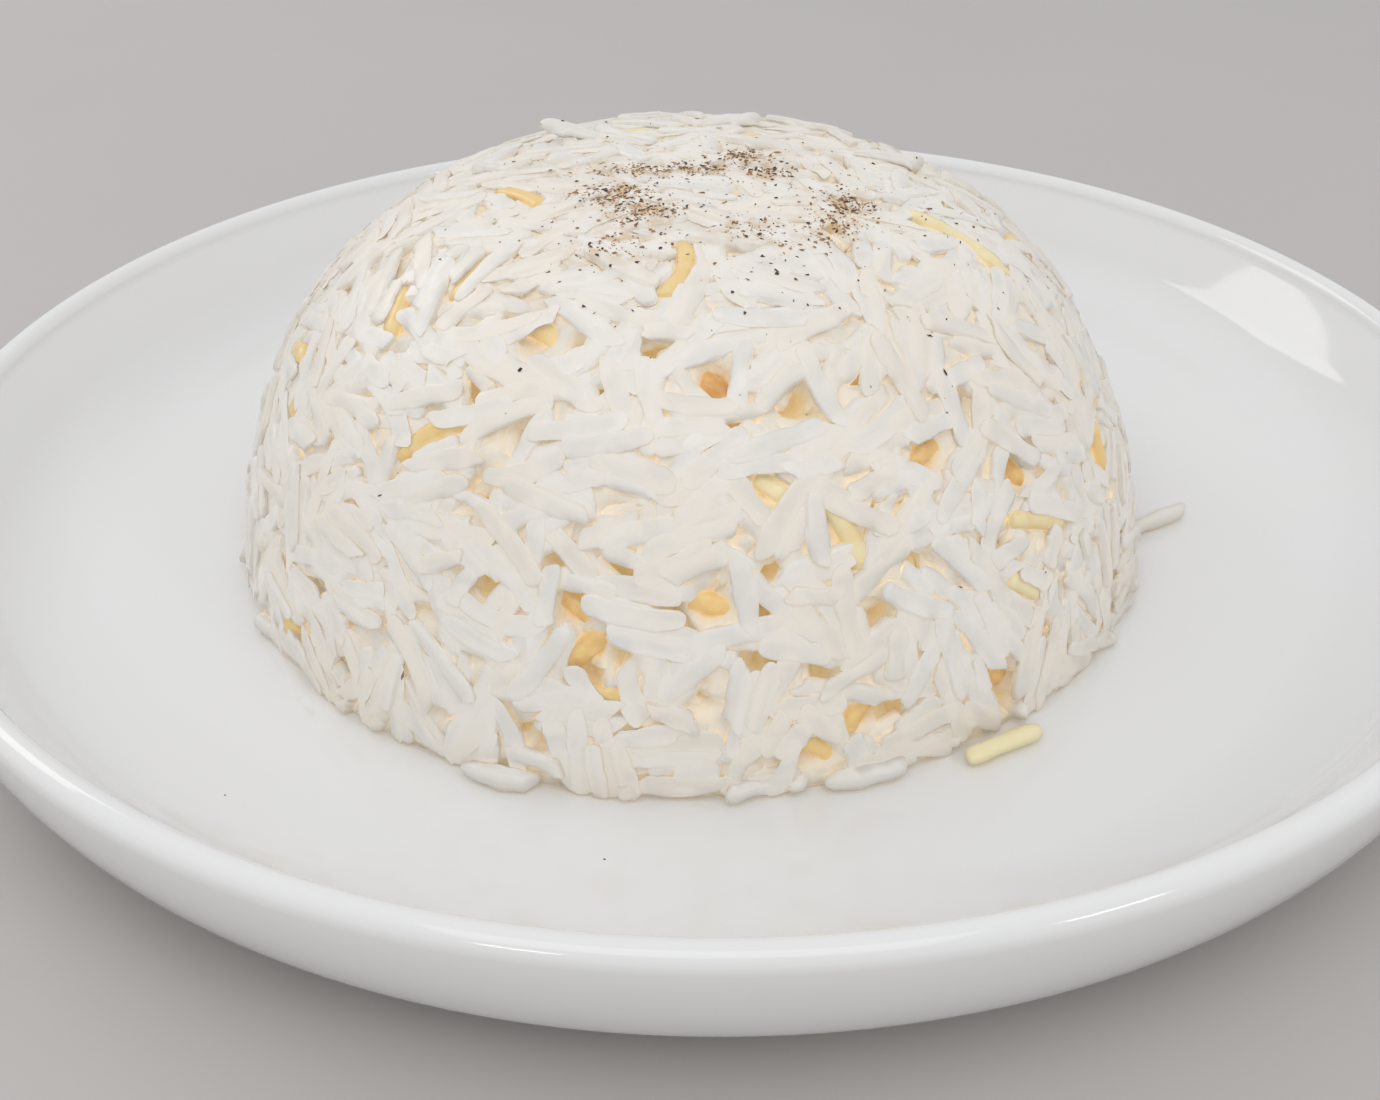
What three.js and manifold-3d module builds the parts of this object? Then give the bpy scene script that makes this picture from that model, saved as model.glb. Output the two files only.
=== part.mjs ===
// Plate of rice pilaf: a white glazed plate with an upright, rounded rim and, on its
// floor, a bowl-moulded dome of long-grain rice with short golden noodles in it.
//
// Units are millimetres and +Z is up. The origin is on the table under the middle of the
// plate, and the front of the plate faces -Y.

import * as THREE from "three";
import { mergeVertices } from "three/addons/utils/BufferGeometryUtils.js";
import Module from "manifold-3d";

const wasm = await Module();
wasm.setup();

// ---------------------------------------------------------------- driving dimensions

// The plate
const PLATE_RADIUS = 120; // over the rim
const PLATE_HEIGHT = 25; // from the table to the top of the rim
const FLOOR_HEIGHT = 9; // from the table to the eating surface
const UNDERSIDE_HEIGHT = 4.5; // from the table to the underside, inside the foot ring
const LIP_THICKNESS = 4.2; // the rounded top of the rim
const LIP_DROP = 2.2; // the round of the lip ends this far below its top
const FLOOR_RADIUS = 95; // where the flat floor starts to turn up into the wall
const WALL_FOOT_RADIUS = 110.5; // inside of the wall at its lower end
const WALL_FOOT_HEIGHT = 14.5;
const BELLY_RADIUS = 116.8; // outside of the wall at its lower end
const BELLY_HEIGHT = 10.5;
const UNDERSIDE_RADIUS = 103; // where the outer curve meets the flat underside
const FOOT_OUTER_RADIUS = 76;
const FOOT_INNER_RADIUS = 71;
const FOOT_TAPER = 0.8; // the foot ring narrows by this on each side
const FLOOR_EASE = 8; // how far the floor's curve runs on level
const WALL_EASE = { inward: 2.5, down: 3.3 }; // how the wall leans into that curve
const WALL_BOW = { outward: 3.5, up: 5 }; // how the inside of the wall bows
const BELLY_EASE = { inward: 1.5, down: 3 }; // how the belly curves under
const UNDERSIDE_EASE = 7; // how far the underside's curve runs on level
const PLATE_SEGMENTS = 64;
const CURVE_STEPS = 3;

// The dome of rice
const MOUND_CENTRE = new THREE.Vector2(-3.5, -13.4); // the dome sits towards the front
const MOUND_RADIUS = 68;
const MOUND_HEIGHT = 54.5;
const SIDE_POWER = 3.5; // how upright the sides of the dome are
const TOP_POWER = 1.5; // how flat its top is
const MOUND_GAP = 0.3; // left between the rice and the glaze
const CORE_DEPTH = 2.0; // the core lies this far below the outer face of the grains
const CORE_SEGMENTS = 44;
const CORE_RINGS = 11;
const CORE_BUMP = 0.4; // the core's unevenness, up and down

// The rice grains and the noodles
const GRAIN_COUNT = 240;
const GRAIN_LENGTH = 11.4;
const GRAIN_LENGTH_SPREAD = 0.22; // as a part of the length
const GRAIN_WIDTH = 2.5;
const GRAIN_WIDTH_SPREAD = 0.1; // as a part of the width
const GRAIN_BEND = 0.8; // at most
const GRAIN_TILT = 9; // degrees at most that a grain leans out of the surface
const GRAIN_STATIONS = [-0.72, 0.72]; // its rings, as parts of the half length
const GRAIN_SIDES = 4;
const GRAIN_TAPER = 0.25; // lost in width at the very end
const NOODLE_WIDTH = 2.5;
const NOODLE_THICKNESS = 1.9;
const NOODLE_STATIONS = [-0.92, -0.3, 0.3, 0.92];
const NOODLE_SIDES = 5;
const NOODLE_TAPER = 0.1;
const TURNS_TRIED = 14; // a grain takes the turn that keeps it clearest of the others
const LEAST_ROOM = 1.8; // a grain with less room than this is left out
const SAMPLES = [-0.4, -0.2, 0, 0.2, 0.4]; // where room is measured, as parts of the length
const SEED = 20;

// The noodles that show, each with the azimuth and elevation of its middle seen from the
// middle of the dome's base, its turn from level, its length and its bend. Angles are in
// degrees, with azimuth 0 along +X, and a turn of 90 runs straight up the dome.
const NOODLES = [
  { azimuth: -162, elevation: 66, turn: 20, length: 11, bend: 0.8 },
  { azimuth: -137, elevation: 54, turn: 96, length: 10, bend: 0.6 },
  { azimuth: -146, elevation: 45, turn: 120, length: 8, bend: 0.4 },
  { azimuth: -117, elevation: 49, turn: -10, length: 9, bend: 1.6 },
  { azimuth: -94, elevation: 61, turn: -99, length: 12, bend: 2.2 },
  { azimuth: -20, elevation: 52, turn: -90, length: 15, bend: 1.2 },
  { azimuth: -125, elevation: 34, turn: 35, length: 13, bend: 2.4 },
  { azimuth: -101, elevation: 17, turn: 46, length: 9, bend: 0.5 },
  { azimuth: -72, elevation: 27, turn: -71, length: 9, bend: 1.0 },
  { azimuth: -58, elevation: 33, turn: 22, length: 10, bend: 0.8 },
  { azimuth: -45, elevation: 27, turn: -59, length: 11, bend: 1.2 },
  { azimuth: -44, elevation: 21, turn: -23, length: 11, bend: 0.3 },
  { azimuth: -25, elevation: 22, turn: -110, length: 7, bend: 0.3 },
  { azimuth: -98, elevation: 10, turn: -45, length: 9, bend: 1.4 },
  { azimuth: -75, elevation: 6, turn: -20, length: 9, bend: 1.0 },
  { azimuth: 20, elevation: 35, turn: 60, length: 11, bend: 1.0 },
  { azimuth: 65, elevation: 25, turn: 15, length: 12, bend: 1.4 },
  { azimuth: 105, elevation: 45, turn: 80, length: 10, bend: 0.8 },
  { azimuth: 140, elevation: 20, turn: -40, length: 11, bend: 1.2 },
  { azimuth: 172, elevation: 48, turn: 10, length: 10, bend: 0.6 },
];

// Pieces that have slipped to the foot of the dome and lie on the plate, from their inner
// end, which is under the other grains, to their outer end: a pale noodle in front and a
// grain on the right.
const FALLEN = [
  { from: [27.5, -74], to: [40.8, -69.5], width: NOODLE_WIDTH },
  { from: [61, -25], to: [73.5, -17.2], width: GRAIN_WIDTH },
];

const MERGE_DISTANCE = 1e-3; // vertices closer than this are one
const HALVINGS = 40; // steps of the search for the dome's surface
const SLOPE_STEP = 0.02; // radians, over which the dome's slope is taken

// ---------------------------------------------------------------- shared helpers

// A seeded source of numbers from 0 to 1.
function randomFrom(seed) {
  let state = seed;
  return function next() {
    state = (state + 0x6d2b79f5) | 0;
    let mixed = Math.imul(state ^ (state >>> 15), 1 | state);
    mixed = (mixed + Math.imul(mixed ^ (mixed >>> 7), 61 | mixed)) ^ mixed;
    return ((mixed ^ (mixed >>> 14)) >>> 0) / 4294967296;
  };
}

function solidOf(geometry) {
  const bare = new THREE.BufferGeometry();
  bare.setAttribute("position", geometry.getAttribute("position"));
  bare.setIndex(geometry.getIndex());
  const merged = mergeVertices(bare, MERGE_DISTANCE);
  const mesh = new wasm.Mesh({
    numProp: 3,
    vertProperties: new Float32Array(merged.getAttribute("position").array),
    triVerts: new Uint32Array(merged.getIndex().array),
  });
  return new wasm.Manifold(mesh);
}

function geometryOf(solid) {
  const mesh = solid.getMesh();
  const geometry = new THREE.BufferGeometry();
  geometry.setAttribute("position", new THREE.BufferAttribute(mesh.vertProperties, 3));
  geometry.setIndex(new THREE.BufferAttribute(mesh.triVerts, 1));
  geometry.computeVertexNormals();
  return geometry;
}

// Joins the pieces into one body. A scrap that touches nothing and a hollow that is
// sealed in are separate shells of the result, so only the largest shell is kept.
function fuse(solids) {
  const shells = wasm.Manifold.union(solids).decompose();
  shells.sort((a, b) => b.volume() - a.volume());
  return shells[0];
}

// ---------------------------------------------------------------- the plate

// Half of the plate's section: the floor, the wall, the lip, the belly and the foot ring.
function plateSection() {
  const lipRadius = LIP_THICKNESS / 2;
  const lipMiddle = PLATE_RADIUS - lipRadius;
  const lipFoot = PLATE_HEIGHT - LIP_DROP;
  const section = new THREE.Path();
  section.moveTo(0, FLOOR_HEIGHT);
  section.lineTo(FLOOR_RADIUS, FLOOR_HEIGHT);
  section.bezierCurveTo(
    FLOOR_RADIUS + FLOOR_EASE, FLOOR_HEIGHT,
    WALL_FOOT_RADIUS - WALL_EASE.inward, WALL_FOOT_HEIGHT - WALL_EASE.down,
    WALL_FOOT_RADIUS, WALL_FOOT_HEIGHT,
  );
  section.quadraticCurveTo(
    WALL_FOOT_RADIUS + WALL_BOW.outward, WALL_FOOT_HEIGHT + WALL_BOW.up,
    PLATE_RADIUS - LIP_THICKNESS, lipFoot,
  );
  section.absellipse(lipMiddle, lipFoot, lipRadius, LIP_DROP, Math.PI, 0, true, 0);
  section.quadraticCurveTo(
    PLATE_RADIUS, (lipFoot + BELLY_HEIGHT) / 2,
    BELLY_RADIUS, BELLY_HEIGHT,
  );
  section.bezierCurveTo(
    BELLY_RADIUS - BELLY_EASE.inward, BELLY_HEIGHT - BELLY_EASE.down,
    UNDERSIDE_RADIUS + UNDERSIDE_EASE, UNDERSIDE_HEIGHT,
    UNDERSIDE_RADIUS, UNDERSIDE_HEIGHT,
  );
  section.lineTo(FOOT_OUTER_RADIUS, UNDERSIDE_HEIGHT);
  section.lineTo(FOOT_OUTER_RADIUS - FOOT_TAPER, 0);
  section.lineTo(FOOT_INNER_RADIUS + FOOT_TAPER, 0);
  section.lineTo(FOOT_INNER_RADIUS, UNDERSIDE_HEIGHT);
  section.lineTo(0, UNDERSIDE_HEIGHT);
  return section.getPoints(CURVE_STEPS);
}

function plateGeometry() {
  const geometry = new THREE.LatheGeometry(plateSection().reverse(), PLATE_SEGMENTS);
  geometry.rotateX(Math.PI / 2);
  return geometry;
}

// ---------------------------------------------------------------- the dome's form

// The dome follows (r / radius)^SIDE_POWER + (z / height)^TOP_POWER = 1. This gives how
// far its surface is from the middle of its base, in the direction of an elevation.
function domeReach(elevation, inset = 0) {
  const radius = MOUND_RADIUS - inset;
  const height = MOUND_HEIGHT - inset;
  let near = 0;
  let far = MOUND_RADIUS + MOUND_HEIGHT;
  for (let step = 0; step < HALVINGS; step += 1) {
    const middle = (near + far) / 2;
    const side = ((middle * Math.cos(elevation)) / radius) ** SIDE_POWER;
    const top = ((middle * Math.sin(elevation)) / height) ** TOP_POWER;
    if (side + top < 1) near = middle;
    else far = middle;
  }
  return near;
}

// A place on the dome, with the three directions that a piece there is laid by.
function domePlace(azimuth, elevation, inset = 0) {
  const point = (turn, rise) => {
    const reach = domeReach(rise, inset);
    return new THREE.Vector3(
      reach * Math.cos(rise) * Math.cos(turn),
      reach * Math.cos(rise) * Math.sin(turn),
      reach * Math.sin(rise),
    );
  };
  const level = new THREE.Vector3(-Math.sin(azimuth), Math.cos(azimuth), 0);
  const low = point(azimuth, Math.max(elevation - SLOPE_STEP, 0));
  const high = point(azimuth, Math.min(elevation + SLOPE_STEP, Math.PI / 2));
  const uphill = high.sub(low).normalize();
  const outward = new THREE.Vector3().crossVectors(level, uphill).normalize();
  return { point: point(azimuth, elevation), level, uphill, outward };
}

// The core is the dome a little smaller, with a bumpy surface and a flat base.
function coreGeometry(random) {
  const profile = [new THREE.Vector2(0, 0)];
  for (let ring = 0; ring <= CORE_RINGS; ring += 1) {
    const elevation = (Math.PI / 2) * (ring / CORE_RINGS);
    const reach = domeReach(elevation, CORE_DEPTH);
    const radius = ring === CORE_RINGS ? 0 : reach * Math.cos(elevation);
    profile.push(new THREE.Vector2(radius, reach * Math.sin(elevation)));
  }
  const geometry = new THREE.LatheGeometry(profile, CORE_SEGMENTS);
  geometry.rotateX(Math.PI / 2);
  geometry.deleteAttribute("normal");
  geometry.deleteAttribute("uv");
  const core = mergeVertices(geometry, MERGE_DISTANCE);
  const position = core.getAttribute("position");
  const vertex = new THREE.Vector3();
  for (let index = 0; index < position.count; index += 1) {
    vertex.fromBufferAttribute(position, index);
    if (vertex.z < CORE_DEPTH) continue;
    vertex.addScaledVector(vertex.clone().normalize(), CORE_BUMP * (2 * random() - 1));
    position.setXYZ(index, vertex.x, vertex.y, vertex.z);
  }
  return core;
}

// ---------------------------------------------------------------- grains and noodles

// A slim piece along X with a few sides, narrower towards its ends and bent in the XY
// plane. stations are the places of its rings, as parts of the half length.
function slimPiece({ length, width, thickness, bend, sides, stations, taper }) {
  const vertices = [];
  const corner = 1 / Math.cos(Math.PI / sides); // so that the flats are at the true size
  const arch = (along) => bend * (1 - along * along) - bend / 2;
  for (const along of stations) {
    const swell = corner * (1 - taper * along * along);
    for (let side = 0; side < sides; side += 1) {
      const angle = ((side + 0.5) / sides) * 2 * Math.PI;
      const across = arch(along) + (swell * width * Math.cos(angle)) / 2;
      const up = (swell * thickness * Math.sin(angle)) / 2;
      vertices.push((along * length) / 2, across, up);
    }
  }
  const firstTip = vertices.length / 3;
  vertices.push(-length / 2, arch(-1), 0, length / 2, arch(1), 0);
  const faces = [];
  const rings = stations.length;
  for (let side = 0; side < sides; side += 1) {
    const next = (side + 1) % sides;
    for (let ring = 0; ring + 1 < rings; ring += 1) {
      const here = ring * sides;
      const there = here + sides;
      faces.push(here + side, here + next, there + side);
      faces.push(there + side, here + next, there + next);
    }
    const last = (rings - 1) * sides;
    faces.push(firstTip, next, side);
    faces.push(firstTip + 1, last + side, last + next);
  }
  const geometry = new THREE.BufferGeometry();
  geometry.setAttribute("position", new THREE.Float32BufferAttribute(vertices, 3));
  geometry.setIndex(faces);
  return geometry;
}

// Lays a piece along a direction with its middle at a point, and lifts it clear of the
// plate where an end would reach below the base of the rice.
function lay(geometry, middle, along, outward) {
  const across = new THREE.Vector3().crossVectors(outward, along).normalize();
  const up = new THREE.Vector3().crossVectors(along, across).normalize();
  const frame = new THREE.Matrix4().makeBasis(along, across, up).setPosition(middle);
  geometry.applyMatrix4(frame);
  geometry.computeBoundingBox();
  const lowest = geometry.boundingBox.min.z;
  if (lowest < 0) geometry.translate(0, 0, -lowest);
  return solidOf(geometry);
}

// The direction of a piece at a place on the dome: its turn from level and its tilt out.
function direction(place, turn, tilt) {
  const along = place.level.clone().multiplyScalar(Math.cos(turn));
  along.addScaledVector(place.uphill, Math.sin(turn));
  along.multiplyScalar(Math.cos(tilt)).addScaledVector(place.outward, Math.sin(tilt));
  return along.normalize();
}

// How far the points along a piece are, at the least, from those of the pieces before it.
function clearance(points, laid) {
  let nearest = Infinity;
  for (const point of points) {
    for (const other of laid) nearest = Math.min(nearest, point.distanceTo(other));
  }
  return nearest;
}

function pointsAlong(middle, along, length) {
  return SAMPLES.map((part) => middle.clone().addScaledVector(along, part * length));
}

// Grains spread evenly over the dome on a golden spiral. Each lies clear of the pieces
// before it as far as it can, and where it can't it is left out.
function grains(random, laid) {
  const goldenTurn = Math.PI * (3 - Math.sqrt(5));
  const solids = [];
  for (let index = 0; index < GRAIN_COUNT; index += 1) {
    const elevation = Math.asin((index + 0.5) / GRAIN_COUNT);
    const length = GRAIN_LENGTH * (1 + GRAIN_LENGTH_SPREAD * (2 * random() - 1));
    const width = GRAIN_WIDTH * (1 + GRAIN_WIDTH_SPREAD * (2 * random() - 1));
    const place = domePlace(index * goldenTurn, elevation, width / 2);
    const tilt = THREE.MathUtils.degToRad(GRAIN_TILT) * (2 * random() - 1);
    let best = { room: -1 };
    for (let tried = 0; tried < TURNS_TRIED; tried += 1) {
      const along = direction(place, Math.PI * random(), tilt);
      const points = pointsAlong(place.point, along, length);
      const room = clearance(points, laid);
      if (room > best.room) best = { room, along, points };
    }
    if (best.room < LEAST_ROOM) continue;
    laid.push(...best.points);
    const geometry = slimPiece({
      length,
      width,
      thickness: width,
      bend: GRAIN_BEND * random(),
      sides: GRAIN_SIDES,
      stations: GRAIN_STATIONS,
      taper: GRAIN_TAPER,
    });
    solids.push(lay(geometry, place.point, best.along, place.outward));
  }
  return solids;
}

function noodles(laid) {
  return NOODLES.map(({ azimuth, elevation, turn, length, bend }) => {
    const [around, rise, slant] = [azimuth, elevation, turn].map(THREE.MathUtils.degToRad);
    const place = domePlace(around, rise, NOODLE_THICKNESS / 2);
    const along = direction(place, slant, 0);
    laid.push(...pointsAlong(place.point, along, length));
    const geometry = slimPiece({
      length,
      width: NOODLE_WIDTH,
      thickness: NOODLE_THICKNESS,
      bend,
      sides: NOODLE_SIDES,
      stations: NOODLE_STATIONS,
      taper: NOODLE_TAPER,
    });
    return lay(geometry, place.point, along, place.outward);
  });
}

function fallenPieces() {
  return FALLEN.map(({ from, to, width }) => {
    const start = new THREE.Vector3(from[0], from[1], 0);
    const end = new THREE.Vector3(to[0], to[1], 0);
    const along = end.clone().sub(start);
    const geometry = slimPiece({
      length: along.length(),
      width,
      thickness: NOODLE_THICKNESS,
      bend: 0,
      sides: NOODLE_SIDES,
      stations: NOODLE_STATIONS,
      taper: NOODLE_TAPER,
    });
    const middle = start.add(end).divideScalar(2);
    middle.sub(new THREE.Vector3(MOUND_CENTRE.x, MOUND_CENTRE.y, 0));
    return lay(geometry, middle, along.normalize(), new THREE.Vector3(0, 0, 1));
  });
}

function moundGeometry() {
  const random = randomFrom(SEED);
  const core = solidOf(coreGeometry(random));
  const laid = [];
  const pieces = [...noodles(laid), ...fallenPieces(), ...grains(random, laid)];
  const heap = fuse([core, ...pieces]);
  return geometryOf(heap);
}

// ---------------------------------------------------------------- the assembled part

const plate = new THREE.Mesh(
  plateGeometry(),
  new THREE.MeshStandardMaterial({ color: 0xe9e9e6, roughness: 0.12, metalness: 0 }),
);
plate.name = "plate";

const mound = new THREE.Mesh(
  moundGeometry(),
  new THREE.MeshStandardMaterial({ color: 0xe6e2da, roughness: 0.45, metalness: 0 }),
);
mound.name = "rice_mound";
mound.position.set(MOUND_CENTRE.x, MOUND_CENTRE.y, FLOOR_HEIGHT + MOUND_GAP);

const pilaf = new THREE.Group();
pilaf.add(plate, mound);

export default pilaf;
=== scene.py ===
# Plate of rice pilaf: a glazed plate, a bowl-moulded dome of separate rice grains over a
# core, golden noodle pieces among them, and ground pepper over the top.
#
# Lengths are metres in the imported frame: +Z up, the origin on the table under the middle
# of the plate, and the front of the plate towards -Y.

import math

import bpy
import numpy as np
from bpy.props import FloatProperty, FloatVectorProperty, IntProperty, PointerProperty
from mathutils import Matrix, Vector, noise
from mathutils.bvhtree import BVHTree


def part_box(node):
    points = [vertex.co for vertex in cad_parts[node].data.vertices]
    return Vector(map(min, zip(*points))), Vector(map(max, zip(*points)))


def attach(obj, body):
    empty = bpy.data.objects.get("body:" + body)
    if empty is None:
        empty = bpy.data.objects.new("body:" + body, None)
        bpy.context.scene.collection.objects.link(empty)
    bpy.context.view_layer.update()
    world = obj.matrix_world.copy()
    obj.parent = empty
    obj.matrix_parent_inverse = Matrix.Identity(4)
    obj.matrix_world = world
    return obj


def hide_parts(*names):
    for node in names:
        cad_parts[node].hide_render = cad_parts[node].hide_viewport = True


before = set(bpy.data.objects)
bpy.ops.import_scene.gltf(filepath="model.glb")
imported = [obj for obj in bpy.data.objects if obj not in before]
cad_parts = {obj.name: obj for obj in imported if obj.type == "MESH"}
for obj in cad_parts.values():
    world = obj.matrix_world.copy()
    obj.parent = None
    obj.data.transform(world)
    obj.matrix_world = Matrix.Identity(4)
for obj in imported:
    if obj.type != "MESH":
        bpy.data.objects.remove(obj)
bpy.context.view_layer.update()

bl_info = {
    "name": "Plate of rice pilaf",
    "version": (1, 0, 0),
    "blender": (4, 5, 0),
    "location": "3D View > Sidebar > Pilaf",
    "description": "A glazed plate with a moulded dome of rice, noodle pieces and pepper",
    "category": "Object",
}

MM = 0.001
TURN = 2 * math.pi

# ------------------------------------------------------------------ the plate's form

PLATE_LOW, PLATE_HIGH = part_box("plate")
PLATE_RADIUS = (PLATE_HIGH.x - PLATE_LOW.x) / 2
RIM_HEIGHT = PLATE_HIGH.z
FLOOR_HEIGHT = 9 * MM
UNDERSIDE_HEIGHT = 4.5 * MM
LIP_THICKNESS = 4.2 * MM
LIP_DROP = 2.2 * MM
FLOOR_RADIUS = 95 * MM
WALL_FOOT = (110.5 * MM, 14.5 * MM)  # inside of the wall at its lower end: radius, height
BELLY = (116.8 * MM, 10.5 * MM)  # outside of the wall at its lower end
UNDERSIDE_RADIUS = 103 * MM
FOOT_OUTER_RADIUS = 76 * MM
FOOT_INNER_RADIUS = 71 * MM
FOOT_TAPER = 0.8 * MM
FOOT_ROUND = 0.7 * MM

# ------------------------------------------------------------------ the dome's form

MOUND_MIDDLE = np.array([-3.5, -13.4, 9.3]) * MM  # the middle of its base
MOUND_RADIUS = 68 * MM
MOUND_HEIGHT = 54.5 * MM
SIDE_POWER = 3.5
TOP_POWER = 1.5
CORE_DEPTH = 0.95 * MM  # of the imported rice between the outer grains
CORE_LUMPS = 0.8 * MM  # how far its surface rises and falls
LUMP_SPAN = 2.2 * MM
PIT_DEPTH = 3.2 * MM  # of the deepest gaps in it
PIT_SPAN = 3.6 * MM
PIT_SHIFT = Vector((40, 0, 0))  # so that the pits don't follow the lumps
HOLLOW_SPAN = 2.2 * MM  # of a hollow under a deep noodle or gap
CORE_SEGMENTS = 400
CORE_RINGS = 110

# The noodle pieces that the photo shows in the dome: the pixels at which their ends show, read
# off it, the turn in degrees where the ends don't give it, length, bend and depth under
# the grains in millimetres, and how browned each is, from 0 to 1.
NOODLES_SHOWN = [
    ((489, 185), (559, 207), 22, 10.5, 0.9, 0.0, 0.62),
    ((456, 292), (505, 245), None, 9.4, 0.5, 0.4, 0.50),
    ((388, 332), (401, 284), 125, 7.9, 0.3, 0.2, 0.45),
    ((285, 355), (305, 353), 15, 6.5, 0.2, 0.0, 0.40),
    ((292, 386), (290, 412), 80, 5.0, 0.2, 0.4, 0.40),
    ((511, 316), (556, 335), None, 7.6, 1.0, 1.0, 0.42),
    ((683, 234), (660, 295), None, 11.5, 1.6, 0.0, 0.48),
    ((909, 212), (1007, 271), None, 15.2, 1.1, 0.0, 0.20),
    ((399, 457), (464, 419), 40, 11.5, 1.5, 0.4, 0.48),
    ((567, 664), (601, 635), None, 7.5, 0.4, 1.8, 0.78),
    ((556, 600), (589, 625), None, 5.5, 0.3, 2.4, 0.80),
    ((683, 603), (734, 612), None, 6.6, 0.4, 2.0, 0.70),
    ((762, 480), (785, 494), None, 4.4, 0.2, 1.2, 0.22),
    ((830, 510), (860, 570), None, 9.0, 0.8, 0.4, 0.25),
    ((909, 475), (952, 433), None, 8.6, 0.5, 1.7, 0.82),
    ((999, 451), (1044, 500), None, 9.9, 1.0, 1.7, 0.90),
    ((1015, 520), (1066, 520), None, 10.6, 0.2, 0.2, 0.30),
    ((1103, 433), (1101, 470), -100, 6.4, 0.2, 0.0, 0.50),
    ((1015, 580), (1046, 594), None, 6.7, 0.4, 0.3, 0.12),
    ((593, 688), (632, 728), None, 7.2, 1.3, 0.8, 0.55),
    ((802, 745), (843, 765), None, 6.6, 0.7, 1.4, 0.68),
    ((853, 738), (872, 708), None, 5.0, 0.4, 1.6, 0.80),
    ((996, 680), (1018, 684), None, 4.8, 0.3, 2.2, 0.92),
    ((285, 632), (293, 632), 30, 4.0, 0.2, 0.3, 0.60),
    ((1012, 240), (1022, 240), None, 5.4, 0.3, 0.0, 0.30),
    ((707, 374), (722, 384), None, 4.4, 0.2, 2.4, 0.98),
    ((626, 129), (640, 129), None, 5.0, 0.2, 0.0, 0.30),
    ((739, 136), (747, 134), None, 4.5, 0.2, 0.0, 0.35),
]
NOODLE_ROOM = 0.75 * MM  # how much further the grains keep off the noodles than each other
WINDOW_DEPTH = 1.0 * MM  # a noodle deeper than this has a gap in the grains over it
WINDOW_RADIUS = 1.6 * MM

# Grains that stand out in the photo: the pixels at which their ends show, read off it,
# and how long each is taken to be, in millimetres.
GRAINS_SHOWN = [
    ((454, 240), (431, 336), 12.5), ((327, 276), (318, 325), 11.5), ((487, 291), (438, 330), 8.5),
    ((380, 347), (401, 385), 7.9), ((403, 353), (459, 373), 10.0), ((458, 336), (532, 389), 12.0),
    ((570, 341), (626, 334), 8.0), ((608, 356), (631, 426), 9.8), ((827, 300), (808, 372), 11.2),
    ((527, 435), (629, 422), 12.3), ((578, 450), (686, 455), 12.2), ((525, 490), (565, 562), 10.2),
    ((593, 480), (633, 552), 10.0), ((636, 571), (711, 541), 9.8), ((656, 500), (724, 486), 9.0),
    ((696, 514), (780, 549), 10.8), ((788, 509), (800, 582), 9.2), ((853, 529), (876, 596), 9.0),
    ((909, 480), (942, 533), 8.2), ((927, 592), (976, 586), 8.0), ((810, 417), (815, 493), 9.6),
    ((604, 614), (704, 636), 12.0), ((744, 630), (746, 703), 9.2), ((709, 628), (796, 632), 10.4),
    ((759, 650), (830, 660), 9.0), ((600, 663), (678, 739), 12.4), ((627, 759), (723, 756), 11.4),
    ((633, 786), (729, 786), 11.5), ((771, 713), (849, 703), 9.8), ((758, 739), (849, 723), 11.2),
    ((757, 787), (860, 767), 12.2), ((906, 610), (910, 656), 7.0), ((953, 610), (1002, 673), 12.0),
    ((999, 600), (1079, 598), 12.5), ((986, 696), (1032, 706), 10.0), ((896, 764), (946, 764), 9.0),
    ((933, 653), (973, 747), 12.4), ((1042, 673), (1095, 666), 12.4), ((384, 356), (399, 388), 7.0),
    ((354, 484), (383, 438), 8.0), ((455, 441), (530, 470), 11.0), ((263, 436), (277, 378), 9.4),
    ((389, 408), (464, 393), 11.2), ((323, 508), (378, 566), 12.0), ((311, 608), (346, 671), 10.4),
    ((406, 628), (430, 690), 9.0), ((451, 595), (551, 631), 12.4), ((435, 631), (526, 669), 12.2),
    ((473, 686), (539, 719), 10.0), ((400, 709), (441, 756), 9.0), ((509, 596), (571, 608), 8.4),
    ((560, 680), (609, 659), 7.6), ((496, 736), (540, 750), 8.0), ((536, 792), (576, 751), 9.2),
    ((596, 355), (629, 403), 8.4), ((383, 505), (437, 513), 9.2), ((728, 178), (731, 205), 9.0),
    ((262, 470), (268, 520), 9.0),
]
GRAINS_SHOWN_OVERLAP = 1.5 * MM

# Grains whose ends stand clear of the dome along its upper edge: both ends, in the frame.
GRAINS_PROUD = [
    ((-25.1, 2.2, 65.4), (-14.0, 2.2, 62.0)), ((20.3, -4.0, 62.4), (30.0, -5.3, 61.4)),
    ((-34.2, -8.3, 62.2), (-27.0, -7.8, 60.8)), ((-1.7, 8.3, 62.9), (7.0, 9.0, 63.6)),
]

# Deep golden gaps between the grains: the pixels at which they show, read off it.
GAPS_SHOWN = [
    (477, 492), (516, 430), (620, 565), (735, 420), (795, 400), (760, 670), (825, 673), (885, 620),
    (908, 708), (965, 394), (655, 345), (475, 582), (770, 570), (470, 380), (320, 585), (560, 565),
]
GAP_RADIUS = 0.45 * MM
GAP_DEPTH = 3.6 * MM
HOLLOWS = 260  # shallow ones between the grains, all over the dome
HOLLOW_RADII = (0.1, 0.65)  # millimetres
HOLLOW_DEPTHS = (0.9, 2.3)

# The pieces that lie on the plate at the dome's foot: inner end, outer end, in the frame.
FALLEN_NOODLE = ((30.5, -75.0), (40.8, -69.5))
FALLEN_GRAIN = ((63.0, -23.6), (73.6, -17.1))
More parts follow.
